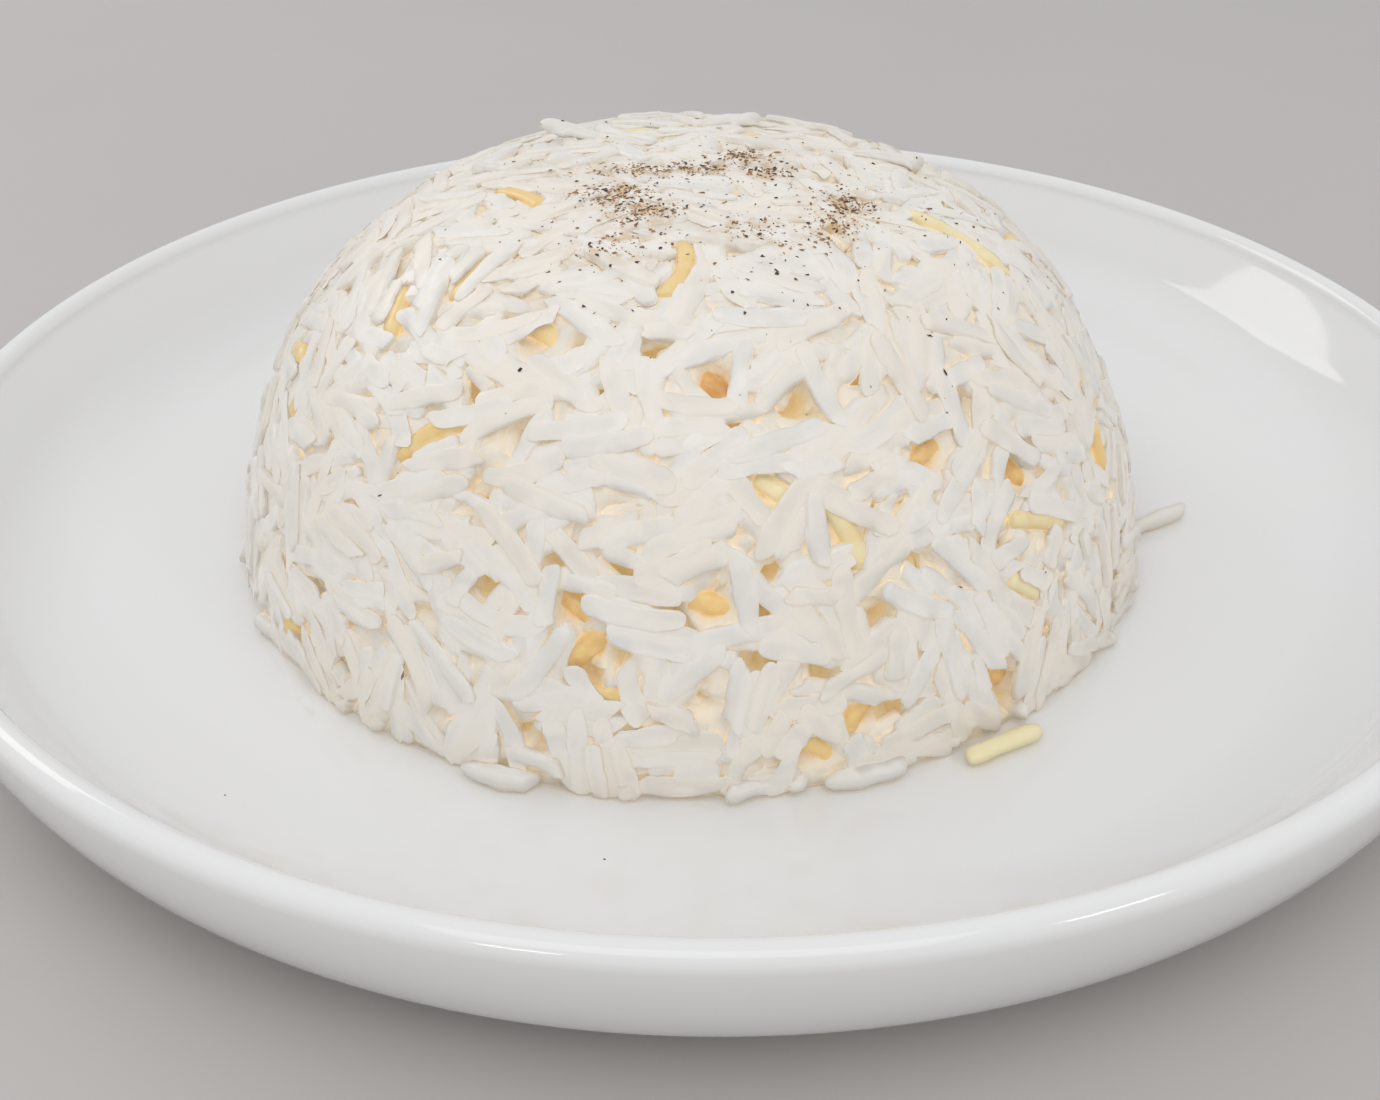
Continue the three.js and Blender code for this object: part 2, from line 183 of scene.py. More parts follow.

# Painted light: glows given off as emission, standing in for light that reaches a point
# through the grains round it, low between the outer grains and at the bottom of the gaps.
CREASE_GLOW = (0.10, 0.078, 0.048, 1)
CLOSE_GLOW = (0.18, 0.143, 0.095, 1)  # where other grains lie close over a point
CLOSE_REACH = 1.0 * MM
GAP_GLOW = (0.14, 0.10, 0.045, 1)
# painted glow where a grain touches another
TOUCH_GLOW = (0.07, 0.058, 0.044, 1)
TOUCH_REACH = 0.8 * MM  # how near another piece a point is to look joined to it
TOUCH_SOFTENS = 0.85  # how far its normal turns to the mould's
TOUCH_LIFTS = 0.8  # how much of a shallow groove between two grains is filled
MOST_LIFTED = 0.35 * MM

# ------------------------------------------------------------------ pepper

# Dense patches: middle over the plate in x and y, reach in x and y, in millimetres, and
# the number of flakes.
PEPPER_PATCHES = [
    (-13.5, -23.0, 5.5, 4.0, 90),
    (-9.5, -29.0, 5.0, 5.0, 100),
    (-12.5, -38.0, 5.0, 4.0, 30),
    (-10.0, -13.5, 7.0, 2.2, 60),
    (-2.0, -13.0, 6.0, 2.2, 50),
    (4.5, -9.5, 4.0, 4.0, 80),
    (7.5, -15.0, 3.0, 3.0, 50),
    (17.5, -24.5, 3.6, 4.5, 80),
    (15.0, -32.5, 4.0, 4.5, 60),
    (4.5, -35.0, 4.5, 3.0, 30),
]
SCATTER_MIDDLE = np.array([4, -26])
SCATTER_REACH = np.array([18, 14])
# In a patch, each flake is one of each sort: spread, sizes and tones, from dark to tan.
PEPPER_SORTS = [
    (0.55, (0.4, 1.0), (0.2, 1.0)),
    (0.50, (0.25, 0.6), (0.6, 1.3)),
    (0.45, (0.2, 0.45), (0.8, 1.5)),
]
PEPPERED = ["rice_grains", "rice_grains_long", "rice_grains_short", "rice_grains_broken",
            "rice_grains_sunk", "rice_core", "noodle_pieces", "plate_glazed"]
DROP_HEIGHT = 200 * MM
LOWEST_FLAKE = 20 * MM  # on the dome
LOWEST_STAIN = 30 * MM
PEPPER_ON_PLATE = [(-13.6, -90.7), (-45.7, -79.5), (-60.0, -79.9), (-57.1, -82.2), (105, 8.7)]

# ------------------------------------------------------------------ the camera

CAMERA_PLACE = Vector((-3.55, -215.47, 133.68)) * MM
CAMERA_PITCH = math.radians(33.35)  # below level
CAMERA_ROLL = math.radians(-0.33)
CAMERA_TURN = (
    Matrix.Rotation(math.pi / 2 - CAMERA_PITCH, 4, "X") @ Matrix.Rotation(CAMERA_ROLL, 4, "Z")
)
IMAGE_WIDTH, IMAGE_HEIGHT = 1380, 1100  # pixels
FOCAL_LENGTH = 1500  # pixels
SENSOR_WIDTH = 36  # millimetres


# ================================================================== settings


class PlateSettings(bpy.types.PropertyGroup):
    glaze: FloatVectorProperty(
        name="Glaze", description="Colour of the glaze", subtype="COLOR", size=4,
        default=(0.79, 0.79, 0.78, 1),
    )
    bare_clay: FloatVectorProperty(
        name="Bare clay", description="Colour of the unglazed foot", subtype="COLOR", size=4,
        default=(0.62, 0.57, 0.49, 1),
    )
    segments: IntProperty(
        name="Segments", description="Faces round the plate", default=256, min=32,
    )


class RiceSettings(bpy.types.PropertyGroup):
    length: FloatProperty(
        name="Length", description="Length of a whole grain", default=11.4 * MM, unit="LENGTH",
    )
    width: FloatProperty(
        name="Width", description="Width of a grain", default=2.55 * MM, unit="LENGTH",
    )
    grain: FloatVectorProperty(
        name="Grain", description="Colour of the outer grains", subtype="COLOR", size=4,
        default=(0.785, 0.765, 0.722, 1),
    )
    creamy: FloatVectorProperty(
        name="Creamy", description="Colour of the less white grains", subtype="COLOR", size=4,
        default=(0.78, 0.73, 0.645, 1),
    )
    # painted shade: the warmer colour low between the outer grains, where shade falls
    crease_shade: FloatVectorProperty(
        name="Crease", description="Colour low between the outer grains", subtype="COLOR",
        size=4, default=(0.83, 0.755, 0.63, 1),
    )
    # painted shade: the darker golden colour deep in the gaps
    gap: FloatVectorProperty(
        name="Gap", description="Colour of the grains seen in the gaps", subtype="COLOR",
        size=4, default=(0.81, 0.68, 0.46, 1),
    )
    dusted: FloatVectorProperty(
        name="Dusted", description="Colour stained by pepper dust", subtype="COLOR", size=4,
        default=(0.62, 0.41, 0.19, 1),
    )
    seed: IntProperty(name="Seed", description="Seed of the heap", default=7)


class NoodleSettings(bpy.types.PropertyGroup):
    width: FloatProperty(
        name="Width", description="Width of a noodle piece", default=2.5 * MM, unit="LENGTH",
    )
    thickness: FloatProperty(
        name="Thickness", description="Thickness of a piece", default=1.8 * MM, unit="LENGTH",
    )
    pale: FloatVectorProperty(
        name="Pale", description="Colour of a pale piece", subtype="COLOR", size=4,
        default=(0.89, 0.80, 0.50, 1),
    )
    golden: FloatVectorProperty(
        name="Golden", description="Colour of a golden piece", subtype="COLOR", size=4,
        default=(0.86, 0.60, 0.23, 1),
    )
    brown: FloatVectorProperty(
        name="Brown", description="Colour of a browned piece", subtype="COLOR", size=4,
        default=(0.58, 0.25, 0.03, 1),
    )
    unseen: IntProperty(
        name="Unseen", description="Pieces round the sides and back", default=34,
    )


class PepperSettings(bpy.types.PropertyGroup):
    size: FloatProperty(
        name="Flake", description="Length of a flake", default=0.8 * MM, unit="LENGTH",
    )
    scattered: IntProperty(
        name="Scattered", description="Flakes outside the dense patches", default=420,
    )
    dark: FloatVectorProperty(
        name="Dark", description="Colour of the skin", subtype="COLOR", size=4,
        default=(0.030, 0.016, 0.010, 1),
    )
    tan: FloatVectorProperty(
        name="Tan", description="Colour of the inside", subtype="COLOR", size=4,
        default=(0.37, 0.20, 0.08, 1),
    )


class StageSettings(bpy.types.PropertyGroup):
    floor: FloatVectorProperty(
        name="Floor", description="Colour of the floor", subtype="COLOR", size=4,
        default=(0.50, 0.48, 0.46, 1),
    )
    overhead: FloatProperty(
        name="Overhead", description="Power of the large soft light", default=0.86,
    )
    window: FloatProperty(
        name="Window", description="Power of the window light", default=1.25,
    )
    lamps: FloatProperty(
        name="Lamps", description="Power of the small lights in front", default=0.52,
    )
    sky: FloatProperty(
        name="Sky", description="Strength of the light all round", default=0.78,
    )


# ================================================================== meshes


def add_object(name, vertices, faces, material, smooth=True, values=None, soften=None):
    """A mesh object, with named values on its points that its material reads.

    Where it is to look fused to its neighbours, soften gives each point a direction and how
    far its normal turns that way, from 0 to 1.
    """
    mesh = bpy.data.meshes.new(name)
    mesh.from_pydata(np.asarray(vertices).tolist(), [], faces)
    for label, numbers in (values or {}).items():
        kind = "FLOAT_VECTOR" if numbers.ndim == 2 else "FLOAT"
        field = "vector" if numbers.ndim == 2 else "value"
        layer = mesh.attributes.new(label, kind, "POINT")
        layer.data.foreach_set(field, numbers.astype(np.float32).ravel())
    mesh.polygons.foreach_set("use_smooth", [smooth] * len(mesh.polygons))
    mesh.materials.append(material)
    mesh.update()
    if soften is not None:
        directions, shares = soften
        normals = np.empty(len(mesh.vertices) * 3, np.float32)
        mesh.vertices.foreach_get("normal", normals)
        normals = normals.reshape(-1, 3) * (1 - shares[:, None]) + directions * shares[:, None]
        normals /= np.maximum(np.linalg.norm(normals, axis=1, keepdims=True), 1e-6)
        mesh.normals_split_custom_set_from_vertices(normals.tolist())
    piece = bpy.data.objects.new(name, mesh)
    bpy.context.scene.collection.objects.link(piece)
    return piece


def lathe(profile, segments):
    """Vertices and faces of a profile of (radius, height), both ends of it on the axis."""
    profile = np.asarray(profile)
    angles = np.arange(segments) * TURN / segments
    rings = profile[1:-1]
    circle = np.stack([np.cos(angles), np.sin(angles)], axis=1)
    body = np.empty((len(rings), segments, 3))
    body[..., :2] = rings[:, None, :1] * circle[None]
    body[..., 2] = rings[:, None, 1]
    vertices = np.vstack([body.reshape(-1, 3), [[0, 0, profile[0][1]]], [[0, 0, profile[-1][1]]]])
    first, last = len(vertices) - 2, len(vertices) - 1
    faces = []
    for ring in range(len(rings) - 1):
        for side in range(segments):
            here = ring * segments + side
            there = ring * segments + (side + 1) % segments
            faces.append((here, here + segments, there + segments, there))
    end = (len(rings) - 1) * segments
    for side in range(segments):
        beside = (side + 1) % segments
        faces.append((first, side, beside))
        faces.append((last, end + beside, end + side))
    return vertices, faces


def curve(points, steps):
    """Points along the Bezier curve of these control points, without its first one."""
    along = np.linspace(0, 1, steps + 1)[1:, None]
    level = [np.asarray(point, float)[None] for point in points]
    while len(level) > 1:
        level = [(1 - along) * a + along * b for a, b in zip(level, level[1:])]
    return level[0].tolist()


# ================================================================== node helpers


def add_node(tree, kind, settings=None, **inputs):
    """A node with its settings, and each input given as a value or as a socket to link."""
    made = tree.nodes.new(kind)
    for name, value in (settings or {}).items():
        setattr(made, name, value)
    for name, value in inputs.items():
        socket = made.inputs[name.replace("_", " ")]
        if isinstance(value, bpy.types.NodeSocket):
            tree.links.new(value, socket)
        else:
            socket.default_value = value
    return made


def add_math(tree, operation, first, second):
    made = tree.nodes.new("ShaderNodeMath")
    made.operation = operation
    for socket, value in zip(made.inputs, (first, second)):
        if isinstance(value, bpy.types.NodeSocket):
            tree.links.new(value, socket)
        else:
            socket.default_value = value
    return made.outputs[0]


def add_mix(tree, factor, first, second, blend="MIX"):
    """A mix of two colours."""
    made = tree.nodes.new("ShaderNodeMix")
    made.data_type = "RGBA"
    made.blend_type = blend
    for index, value in ((0, factor), (6, first), (7, second)):
        socket = made.inputs[index]
        if isinstance(value, bpy.types.NodeSocket):
            tree.links.new(value, socket)
        else:
            socket.default_value = value
    return made.outputs[2]


def add_range(tree, value, low, high, to_low=0.0, to_high=1.0):
    made = tree.nodes.new("ShaderNodeMapRange")
    made.interpolation_type = "SMOOTHSTEP"
    tree.links.new(value, made.inputs[0])
    for socket, number in zip(list(made.inputs)[1:5], (low, high, to_low, to_high)):
        socket.default_value = number
    return made.outputs[0]


def new_group(name, inputs, outputs):
    """An empty node group with these sockets, and its two end nodes."""
    group = bpy.data.node_groups.new(name, "ShaderNodeTree")
    for label, kind, default in inputs:
        socket = group.interface.new_socket(name=label, in_out="INPUT", socket_type=kind)
        if default is not None:
            socket.default_value = default
    for label, kind in outputs:
        group.interface.new_socket(name=label, in_out="OUTPUT", socket_type=kind)
    return group, group.nodes.new("NodeGroupInput"), group.nodes.new("NodeGroupOutput")


def use_group(tree, group, **inputs):
    made = tree.nodes.new("ShaderNodeGroup")
    made.node_tree = group
    for name, value in inputs.items():
        socket = made.inputs[name.replace("_", " ")]
        if isinstance(value, bpy.types.NodeSocket):
            tree.links.new(value, socket)
        else:
            socket.default_value = value
    return made


def new_material(name):
    material = bpy.data.materials.new(name)
    material.use_nodes = True
    tree = material.node_tree
    tree.nodes.clear()
    surface = tree.nodes.new("ShaderNodeBsdfPrincipled")
    output = tree.nodes.new("ShaderNodeOutputMaterial")
    tree.links.new(surface.outputs[0], output.inputs[0])
    return material, tree, surface


def point_value(tree, label, output="Fac"):
    """The value that a mesh holds on its points under this name."""
    made = tree.nodes.new("ShaderNodeAttribute")
    made.attribute_type = "GEOMETRY"
    made.attribute_name = label
    return made.outputs[output]


def starch_group():
    """The figure of boiled starch along a piece: cloudy patches, and fine ridges."""
    if "boiled_starch" in bpy.data.node_groups:
        return bpy.data.node_groups["boiled_starch"]
    group, start, end = new_group(
        "boiled_starch",
        [("Place", "NodeSocketVector", None), ("Stretch", "NodeSocketFloat", 0.25)],
        [("Cloud", "NodeSocketFloat"), ("Ridges", "NodeSocketFloat")],
    )
    parts = add_node(group, "ShaderNodeSeparateXYZ", Vector=start.outputs["Place"])
    along = add_math(group, "MULTIPLY", parts.outputs[0], start.outputs["Stretch"])
    joined = add_node(
        group, "ShaderNodeCombineXYZ", X=along, Y=parts.outputs[1], Z=parts.outputs[2],
    )
    cloud = add_node(
        group, "ShaderNodeTexNoise", Vector=start.outputs["Place"], Scale=420.0, Detail=2.0,
    )
    ridges = add_node(
        group, "ShaderNodeTexNoise", Vector=joined.outputs[0], Scale=1900.0, Detail=3.0,
        Roughness=0.6,
    )
    group.links.new(cloud.outputs[0], end.inputs["Cloud"])
    group.links.new(ridges.outputs[0], end.inputs["Ridges"])
    return group


def depth_group():
    """How far in a point lies, its painted shade masks, and the painted light through the grains.

    Boiled rice passes light on from grain to grain, each time warmer, so the creases and
    gaps aren't dark. That light is painted, as the group's glow; a stain of pepper holds it back.
    """
    if "packed_rice_light" in bpy.data.node_groups:
        return bpy.data.node_groups["packed_rice_light"]
    group, start, end = new_group(
        "packed_rice_light",
        [("Depth", "NodeSocketFloat", 0.0), ("Touch", "NodeSocketFloat", 0.0),
         ("Close", "NodeSocketFloat", 0.0), ("Stain", "NodeSocketFloat", 0.0),
         ("Touch Glow", "NodeSocketColor", (0, 0, 0, 1)),
         ("Close Glow", "NodeSocketColor", (0, 0, 0, 1)),
         ("Crease Glow", "NodeSocketColor", (0, 0, 0, 1)),
         ("Gap Glow", "NodeSocketColor", (0, 0, 0, 1))],
        [("Crease", "NodeSocketFloat"), ("Gap", "NodeSocketFloat"), ("Glow", "NodeSocketColor")],
    )
    depth = start.outputs["Depth"]
    close = start.outputs["Close"]
    # painted shade mask for the creases: from depth, and from how closely other grains close over a
    # point
    sunk = add_range(group, depth, 0.35 * MM, 1.6 * MM)
    # painted shade mask for the gaps: from greater depth
    gap = add_range(group, depth, 2.1 * MM, 3.8 * MM)
    crease_shade = add_math(group, "MAXIMUM", sunk, add_math(group, "MULTIPLY", close, 0.9))
    # painted glow: touch, crease, closeness and gap glows, held back by pepper stain
    joined = add_mix(group, start.outputs["Touch"], (0, 0, 0, 1), start.outputs["Touch Glow"])
    low = add_mix(group, sunk, joined, start.outputs["Crease Glow"])
    low = add_mix(group, close, low, start.outputs["Close Glow"], "ADD")
    deep = add_mix(group, gap, low, start.outputs["Gap Glow"])
    glow = add_mix(group, start.outputs["Stain"], deep, (0, 0, 0, 1))
    group.links.new(crease_shade, end.inputs["Crease"])
    group.links.new(gap, end.inputs["Gap"])
    group.links.new(glow, end.inputs["Glow"])
    return group


def add_glow(material, tree, surface, depth, touch=0.0, stain=0.0):
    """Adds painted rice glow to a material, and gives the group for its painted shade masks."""
    material.cycles.emission_sampling = "NONE"
    # ambient occlusion: how closely other grains close over a point, for painted shade and glow
    open_sky = add_node(
        tree, "ShaderNodeAmbientOcclusion", {"samples": 6}, Distance=CLOSE_REACH,
    ).outputs["AO"]
    packed = use_group(
        tree, depth_group(), Depth=depth, Touch=touch, Stain=stain,
        Close=add_range(tree, open_sky, 0.9, 0.15), Touch_Glow=TOUCH_GLOW,
        Close_Glow=CLOSE_GLOW, Crease_Glow=CREASE_GLOW, Gap_Glow=GAP_GLOW,
    )
    tree.links.new(packed.outputs["Glow"], surface.inputs["Emission Color"])
    surface.inputs["Emission Strength"].default_value = 1.0
    return packed


# ================================================================== materials


def glaze_material(settings):
    """White glaze with a faint waviness, bare and rough under the foot ring."""
    material, tree, surface = new_material("white_glaze")
    place = add_node(tree, "ShaderNodeTexCoord").outputs["Object"]
    parts = add_node(tree, "ShaderNodeSeparateXYZ", Vector=place)
    wave = add_node(tree, "ShaderNodeTexNoise", Vector=place, Scale=38.0, Detail=2.0)
    pinholes = add_node(tree, "ShaderNodeTexNoise", Vector=place, Scale=900.0, Detail=1.0)
    under = add_range(tree, parts.outputs[2], 0.9 * MM, 0.5 * MM)
    warmth = add_range(tree, wave.outputs[0], 0.35, 0.7, 0.0, 0.25)
    warmer = tuple(channel * tint for channel, tint in zip(settings.glaze[:3], (1.0, 0.985, 0.95)))
    glaze = add_mix(tree, warmth, tuple(settings.glaze), (*warmer, 1))
    clay = add_mix(tree, pinholes.outputs[0], tuple(settings.bare_clay), (0.72, 0.68, 0.6, 1))
    colour = add_mix(tree, under, glaze, clay)
    rough = add_math(tree, "MULTIPLY_ADD", under, 0.7)
    rough.node.inputs[2].default_value = 0.09
    tree.links.new(colour, surface.inputs["Base Color"])
    tree.links.new(rough, surface.inputs["Roughness"])
    height = add_math(tree, "MULTIPLY_ADD", pinholes.outputs[0], 0.04)
    tree.links.new(wave.outputs[0], height.node.inputs[2])
    bump = add_node(tree, "ShaderNodeBump", Strength=0.03, Distance=0.3 * MM, Height=height)
    tree.links.new(bump.outputs[0], surface.inputs["Normal"])
    surface.inputs["Coat Weight"].default_value = 0.4
    surface.inputs["Coat Roughness"].default_value = 0.04
    return material


def rice_material(settings):
    """Boiled rice: cloudy white, with painted warm shade and glow the deeper a point lies."""
    material, tree, surface = new_material("boiled_rice")
    starch = use_group(tree, starch_group(), Place=point_value(tree, "place", "Vector"))
    tone = point_value(tree, "tone")
    depth = point_value(tree, "depth")
    clear = add_range(tree, starch.outputs["Cloud"], 0.35, 0.68, 0.0, 0.5)
    glassy = tuple(channel * tint for channel, tint in zip(settings.grain[:3], (0.96, 0.94, 0.90)))
    outer = add_mix(tree, clear, tuple(settings.grain), (*glassy, 1))
    place = add_node(tree, "ShaderNodeTexCoord").outputs["Object"]
    patches = add_node(tree, "ShaderNodeTexNoise", Vector=place, Scale=45.0, Detail=1.0)
    warm = add_math(tree, "ADD", tone, add_range(tree, patches.outputs[0], 0.35, 0.65, -0.2, 0.35))
    outer = add_mix(tree, add_range(tree, warm, 0.0, 1.2, 0.0, 0.9), outer, tuple(settings.creamy))
    speckles = add_node(tree, "ShaderNodeTexNoise", Vector=place, Scale=380.0, Detail=3.0)
    stain = add_math(tree, "MULTIPLY", point_value(tree, "pepper"),
                     add_range(tree, speckles.outputs[0], 0.45, 0.60, 0.0, 0.9))
    packed = add_glow(material, tree, surface, depth, point_value(tree, "touch"), stain)
    # painted shade: the crease colour between the outer grains
    crease_shade = add_mix(tree, packed.outputs["Crease"], outer, tuple(settings.crease_shade))
    # painted shade: the gap colour deep in the gaps
    colour = add_mix(tree, packed.outputs["Gap"], crease_shade, tuple(settings.gap))
    colour = add_mix(tree, stain, colour, tuple(settings.dusted))
    tree.links.new(colour, surface.inputs["Base Color"])
    rough = add_range(tree, starch.outputs["Cloud"], 0.3, 0.7, 0.34, 0.55)
    tree.links.new(rough, surface.inputs["Roughness"])
    bump = add_node(
        tree, "ShaderNodeBump", Strength=0.28, Distance=0.12 * MM, Height=starch.outputs["Ridges"],
    )
    tree.links.new(bump.outputs[0], surface.inputs["Normal"])
    surface.inputs["Coat Weight"].default_value = 0.12
    surface.inputs["Coat Roughness"].default_value = 0.22
    return material


def noodle_material(settings):
    """Fried and boiled noodle: pale to golden to brown by how browned each point is."""
    material, tree, surface = new_material("fried_noodle")
    starch = use_group(tree, starch_group(), Place=point_value(tree, "place", "Vector"))
    cloud = add_range(tree, starch.outputs["Cloud"], 0.3, 0.7, -0.10, 0.10)
    browned = add_math(tree, "ADD", point_value(tree, "browning"), cloud)
    golden = add_mix(
        tree, add_range(tree, browned, 0.05, 0.65), tuple(settings.pale), tuple(settings.golden),
    )
    colour = add_mix(tree, add_range(tree, browned, 0.65, 1.15), golden, tuple(settings.brown))
    tree.links.new(colour, surface.inputs["Base Color"])
    # painted light: a glow by depth and closeness, as on the rice
    add_glow(material, tree, surface, point_value(tree, "depth"))
    rough = add_range(tree, starch.outputs["Ridges"], 0.3, 0.7, 0.25, 0.42)
    tree.links.new(rough, surface.inputs["Roughness"])
    bump = add_node(
        tree, "ShaderNodeBump", Strength=0.25, Distance=0.12 * MM, Height=starch.outputs["Ridges"],
    )
    tree.links.new(bump.outputs[0], surface.inputs["Normal"])
    surface.inputs["Coat Weight"].default_value = 0.2
    surface.inputs["Coat Roughness"].default_value = 0.2
    return material


def core_material(settings):
    """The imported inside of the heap, seen at the bottom of the deepest gaps."""
    material, tree, surface = new_material("packed_rice")
    place = add_node(tree, "ShaderNodeTexCoord").outputs["Object"]
    patches = add_node(tree, "ShaderNodeTexNoise", Vector=place, Scale=210.0, Detail=3.0)
    uneven = add_range(tree, patches.outputs[0], 0.35, 0.65, -0.4 * MM, 0.4 * MM)
    depth = add_math(tree, "ADD", point_value(tree, "depth"), uneven)
    # painted light: a glow by depth and closeness
    packed = add_glow(material, tree, surface, depth)
    # painted shade: the crease colour by depth
    crease_shade = add_mix(
        tree, packed.outputs["Crease"], tuple(settings.creamy), tuple(settings.crease_shade),
    )
    # painted shade: the gap colour deep in the gaps
    colour = add_mix(tree, packed.outputs["Gap"], crease_shade, tuple(settings.gap))
    tree.links.new(colour, surface.inputs["Base Color"])
    bump = add_node(
        tree, "ShaderNodeBump", Strength=0.6, Distance=1.0 * MM, Height=patches.outputs[0],
    )
    tree.links.new(bump.outputs[0], surface.inputs["Normal"])
    surface.inputs["Roughness"].default_value = 0.5
    return material


def pepper_material(settings):
    """Ground pepper: near-black skin and tan inside, mixed from flake to flake."""
    material, tree, surface = new_material("ground_pepper")
    place = add_node(tree, "ShaderNodeTexCoord").outputs["Object"]
    grit = add_node(tree, "ShaderNodeTexNoise", Vector=place, Scale=2600.0, Detail=2.0)
    spread = add_math(tree, "MULTIPLY_ADD", grit.outputs[0], 0.5)
    tree.links.new(point_value(tree, "tone"), spread.node.inputs[2])
    colour = add_mix(
        tree, add_range(tree, spread, 0.45, 1.2), tuple(settings.dark), tuple(settings.tan),
    )
    tree.links.new(colour, surface.inputs["Base Color"])
    bump = add_node(tree, "ShaderNodeBump", Strength=0.5, Distance=0.05 * MM, Height=grit.outputs[0])
    tree.links.new(bump.outputs[0], surface.inputs["Normal"])
    surface.inputs["Roughness"].default_value = 0.6
    return material


def floor_material(settings):
    material, tree, surface = new_material("pale_floor")
    place = add_node(tree, "ShaderNodeTexCoord").outputs["Object"]
    mottle = add_node(tree, "ShaderNodeTexNoise", Vector=place, Scale=9.0, Detail=4.0)
    paler = tuple(min(channel * 1.06, 1) for channel in settings.floor[:3])
    colour = add_mix(tree, mottle.outputs[0], tuple(settings.floor), (*paler, 1))
    tree.links.new(colour, surface.inputs["Base Color"])
    surface.inputs["Roughness"].default_value = 0.7
    return material


# ================================================================== the plate


def plate_profile():
    """Half of the plate's section: floor, wall, lip, belly, underside and foot ring."""
    lip_radius = LIP_THICKNESS / 2
    lip_foot = RIM_HEIGHT - LIP_DROP
    points = [[0, FLOOR_HEIGHT], [FLOOR_RADIUS * 0.5, FLOOR_HEIGHT], [FLOOR_RADIUS, FLOOR_HEIGHT]]
    points += curve(
        [(FLOOR_RADIUS, FLOOR_HEIGHT), (FLOOR_RADIUS + 8 * MM, FLOOR_HEIGHT),
         (WALL_FOOT[0] - 2.5 * MM, WALL_FOOT[1] - 3.3 * MM), WALL_FOOT], 14,
    )
    points += curve(
        [WALL_FOOT, (WALL_FOOT[0] + 3.5 * MM, WALL_FOOT[1] + 5 * MM),
         (PLATE_RADIUS - LIP_THICKNESS, lip_foot)], 8,
    )
    for angle in np.linspace(math.pi, 0, 15)[1:]:
        across = PLATE_RADIUS - lip_radius + lip_radius * math.cos(angle)
        points.append([across, lip_foot + LIP_DROP * math.sin(angle)])
    points += curve([(PLATE_RADIUS, lip_foot), (PLATE_RADIUS, (lip_foot + BELLY[1]) / 2), BELLY], 8)
    points += curve(
        [BELLY, (BELLY[0] - 1.5 * MM, BELLY[1] - 3 * MM),
         (UNDERSIDE_RADIUS + 7 * MM, UNDERSIDE_HEIGHT), (UNDERSIDE_RADIUS, UNDERSIDE_HEIGHT)], 12,
    )
    outer = FOOT_OUTER_RADIUS - FOOT_TAPER
    inner = FOOT_INNER_RADIUS + FOOT_TAPER
    points.append([FOOT_OUTER_RADIUS, UNDERSIDE_HEIGHT])
    points.append([outer, FOOT_ROUND])
    points += curve([(outer, FOOT_ROUND), (outer, 0), (outer - FOOT_ROUND, 0)], 4)
    points.append([inner + FOOT_ROUND, 0])
    points += curve([(inner + FOOT_ROUND, 0), (inner, 0), (inner, FOOT_ROUND)], 4)
    points.append([FOOT_INNER_RADIUS, UNDERSIDE_HEIGHT])
    points.append([0, UNDERSIDE_HEIGHT])
    return points


def make_plate(settings):
    vertices, faces = lathe(plate_profile()[::-1], settings.segments)
    plate = add_object("plate_glazed", vertices, faces, glaze_material(settings))
    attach(plate, "root")
    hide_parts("plate")
    return plate


# ================================================================== places on the dome


def solve_reach(elevation, inset):
    """How far the dome's surface is from the middle of its base, in each direction."""
    near = np.zeros_like(elevation)
    far = np.full_like(elevation, MOUND_RADIUS + MOUND_HEIGHT)
    for _ in range(40):
        middle = (near + far) / 2
        side = (middle * np.cos(elevation) / (MOUND_RADIUS - inset)) ** SIDE_POWER
        top = (middle * np.sin(elevation) / (MOUND_HEIGHT - inset)) ** TOP_POWER
        inside = side + top < 1
        near = np.where(inside, middle, near)
        far = np.where(inside, far, middle)
    return near


ELEVATIONS = np.linspace(0, math.pi / 2, 181)
REACHES = solve_reach(ELEVATIONS, 0.0)


def dome_point(azimuth, elevation):
    reach = np.interp(elevation, ELEVATIONS, REACHES)
    level = reach * math.cos(elevation)
    height = reach * math.sin(elevation)
    return np.array([level * math.cos(azimuth), level * math.sin(azimuth), height])


class Place:
    """A place on the dome, with the directions level, uphill and outward there."""

    def __init__(self, azimuth, elevation):
        step = 0.02
        low = dome_point(azimuth, max(elevation - step, 0))
        high = dome_point(azimuth, min(elevation + step, math.pi / 2))
        self.point = dome_point(azimuth, elevation)
        self.level = np.array([-math.sin(azimuth), math.cos(azimuth), 0.0])
        self.uphill = (high - low) / np.linalg.norm(high - low)
        self.outward = np.cross(self.level, self.uphill)

    def direction(self, turn, lean):
        flat = math.cos(turn) * self.level + math.sin(turn) * self.uphill
        return math.cos(lean) * flat + math.sin(lean) * self.outward


def outward_at(points):
    """The direction straight out of the dome's form at each point."""
    level = np.maximum(np.hypot(points[:, 0], points[:, 1]), 1e-6)
    height = np.maximum(points[:, 2], 0)
    side = SIDE_POWER / MOUND_RADIUS * (level / MOUND_RADIUS) ** (SIDE_POWER - 1)
    top = TOP_POWER / MOUND_HEIGHT * (height / MOUND_HEIGHT) ** (TOP_POWER - 1)
    out = np.stack([side * points[:, 0] / level, side * points[:, 1] / level, top], axis=1)
    return out / np.maximum(np.linalg.norm(out, axis=1, keepdims=True), 1e-6)


def depth_of(points):
    """How far points are inside the dome's outer form, towards its middle."""
    level = np.hypot(points[:, 0], points[:, 1])
    distance = np.hypot(level, points[:, 2])
    elevation = np.arctan2(np.maximum(points[:, 2], 0), level)
    return np.interp(elevation, ELEVATIONS, REACHES) - distance


DOME_AWAY = (80 * MM, 330 * MM)  # from the camera, nearest and farthest
RAY_STEPS = 1500


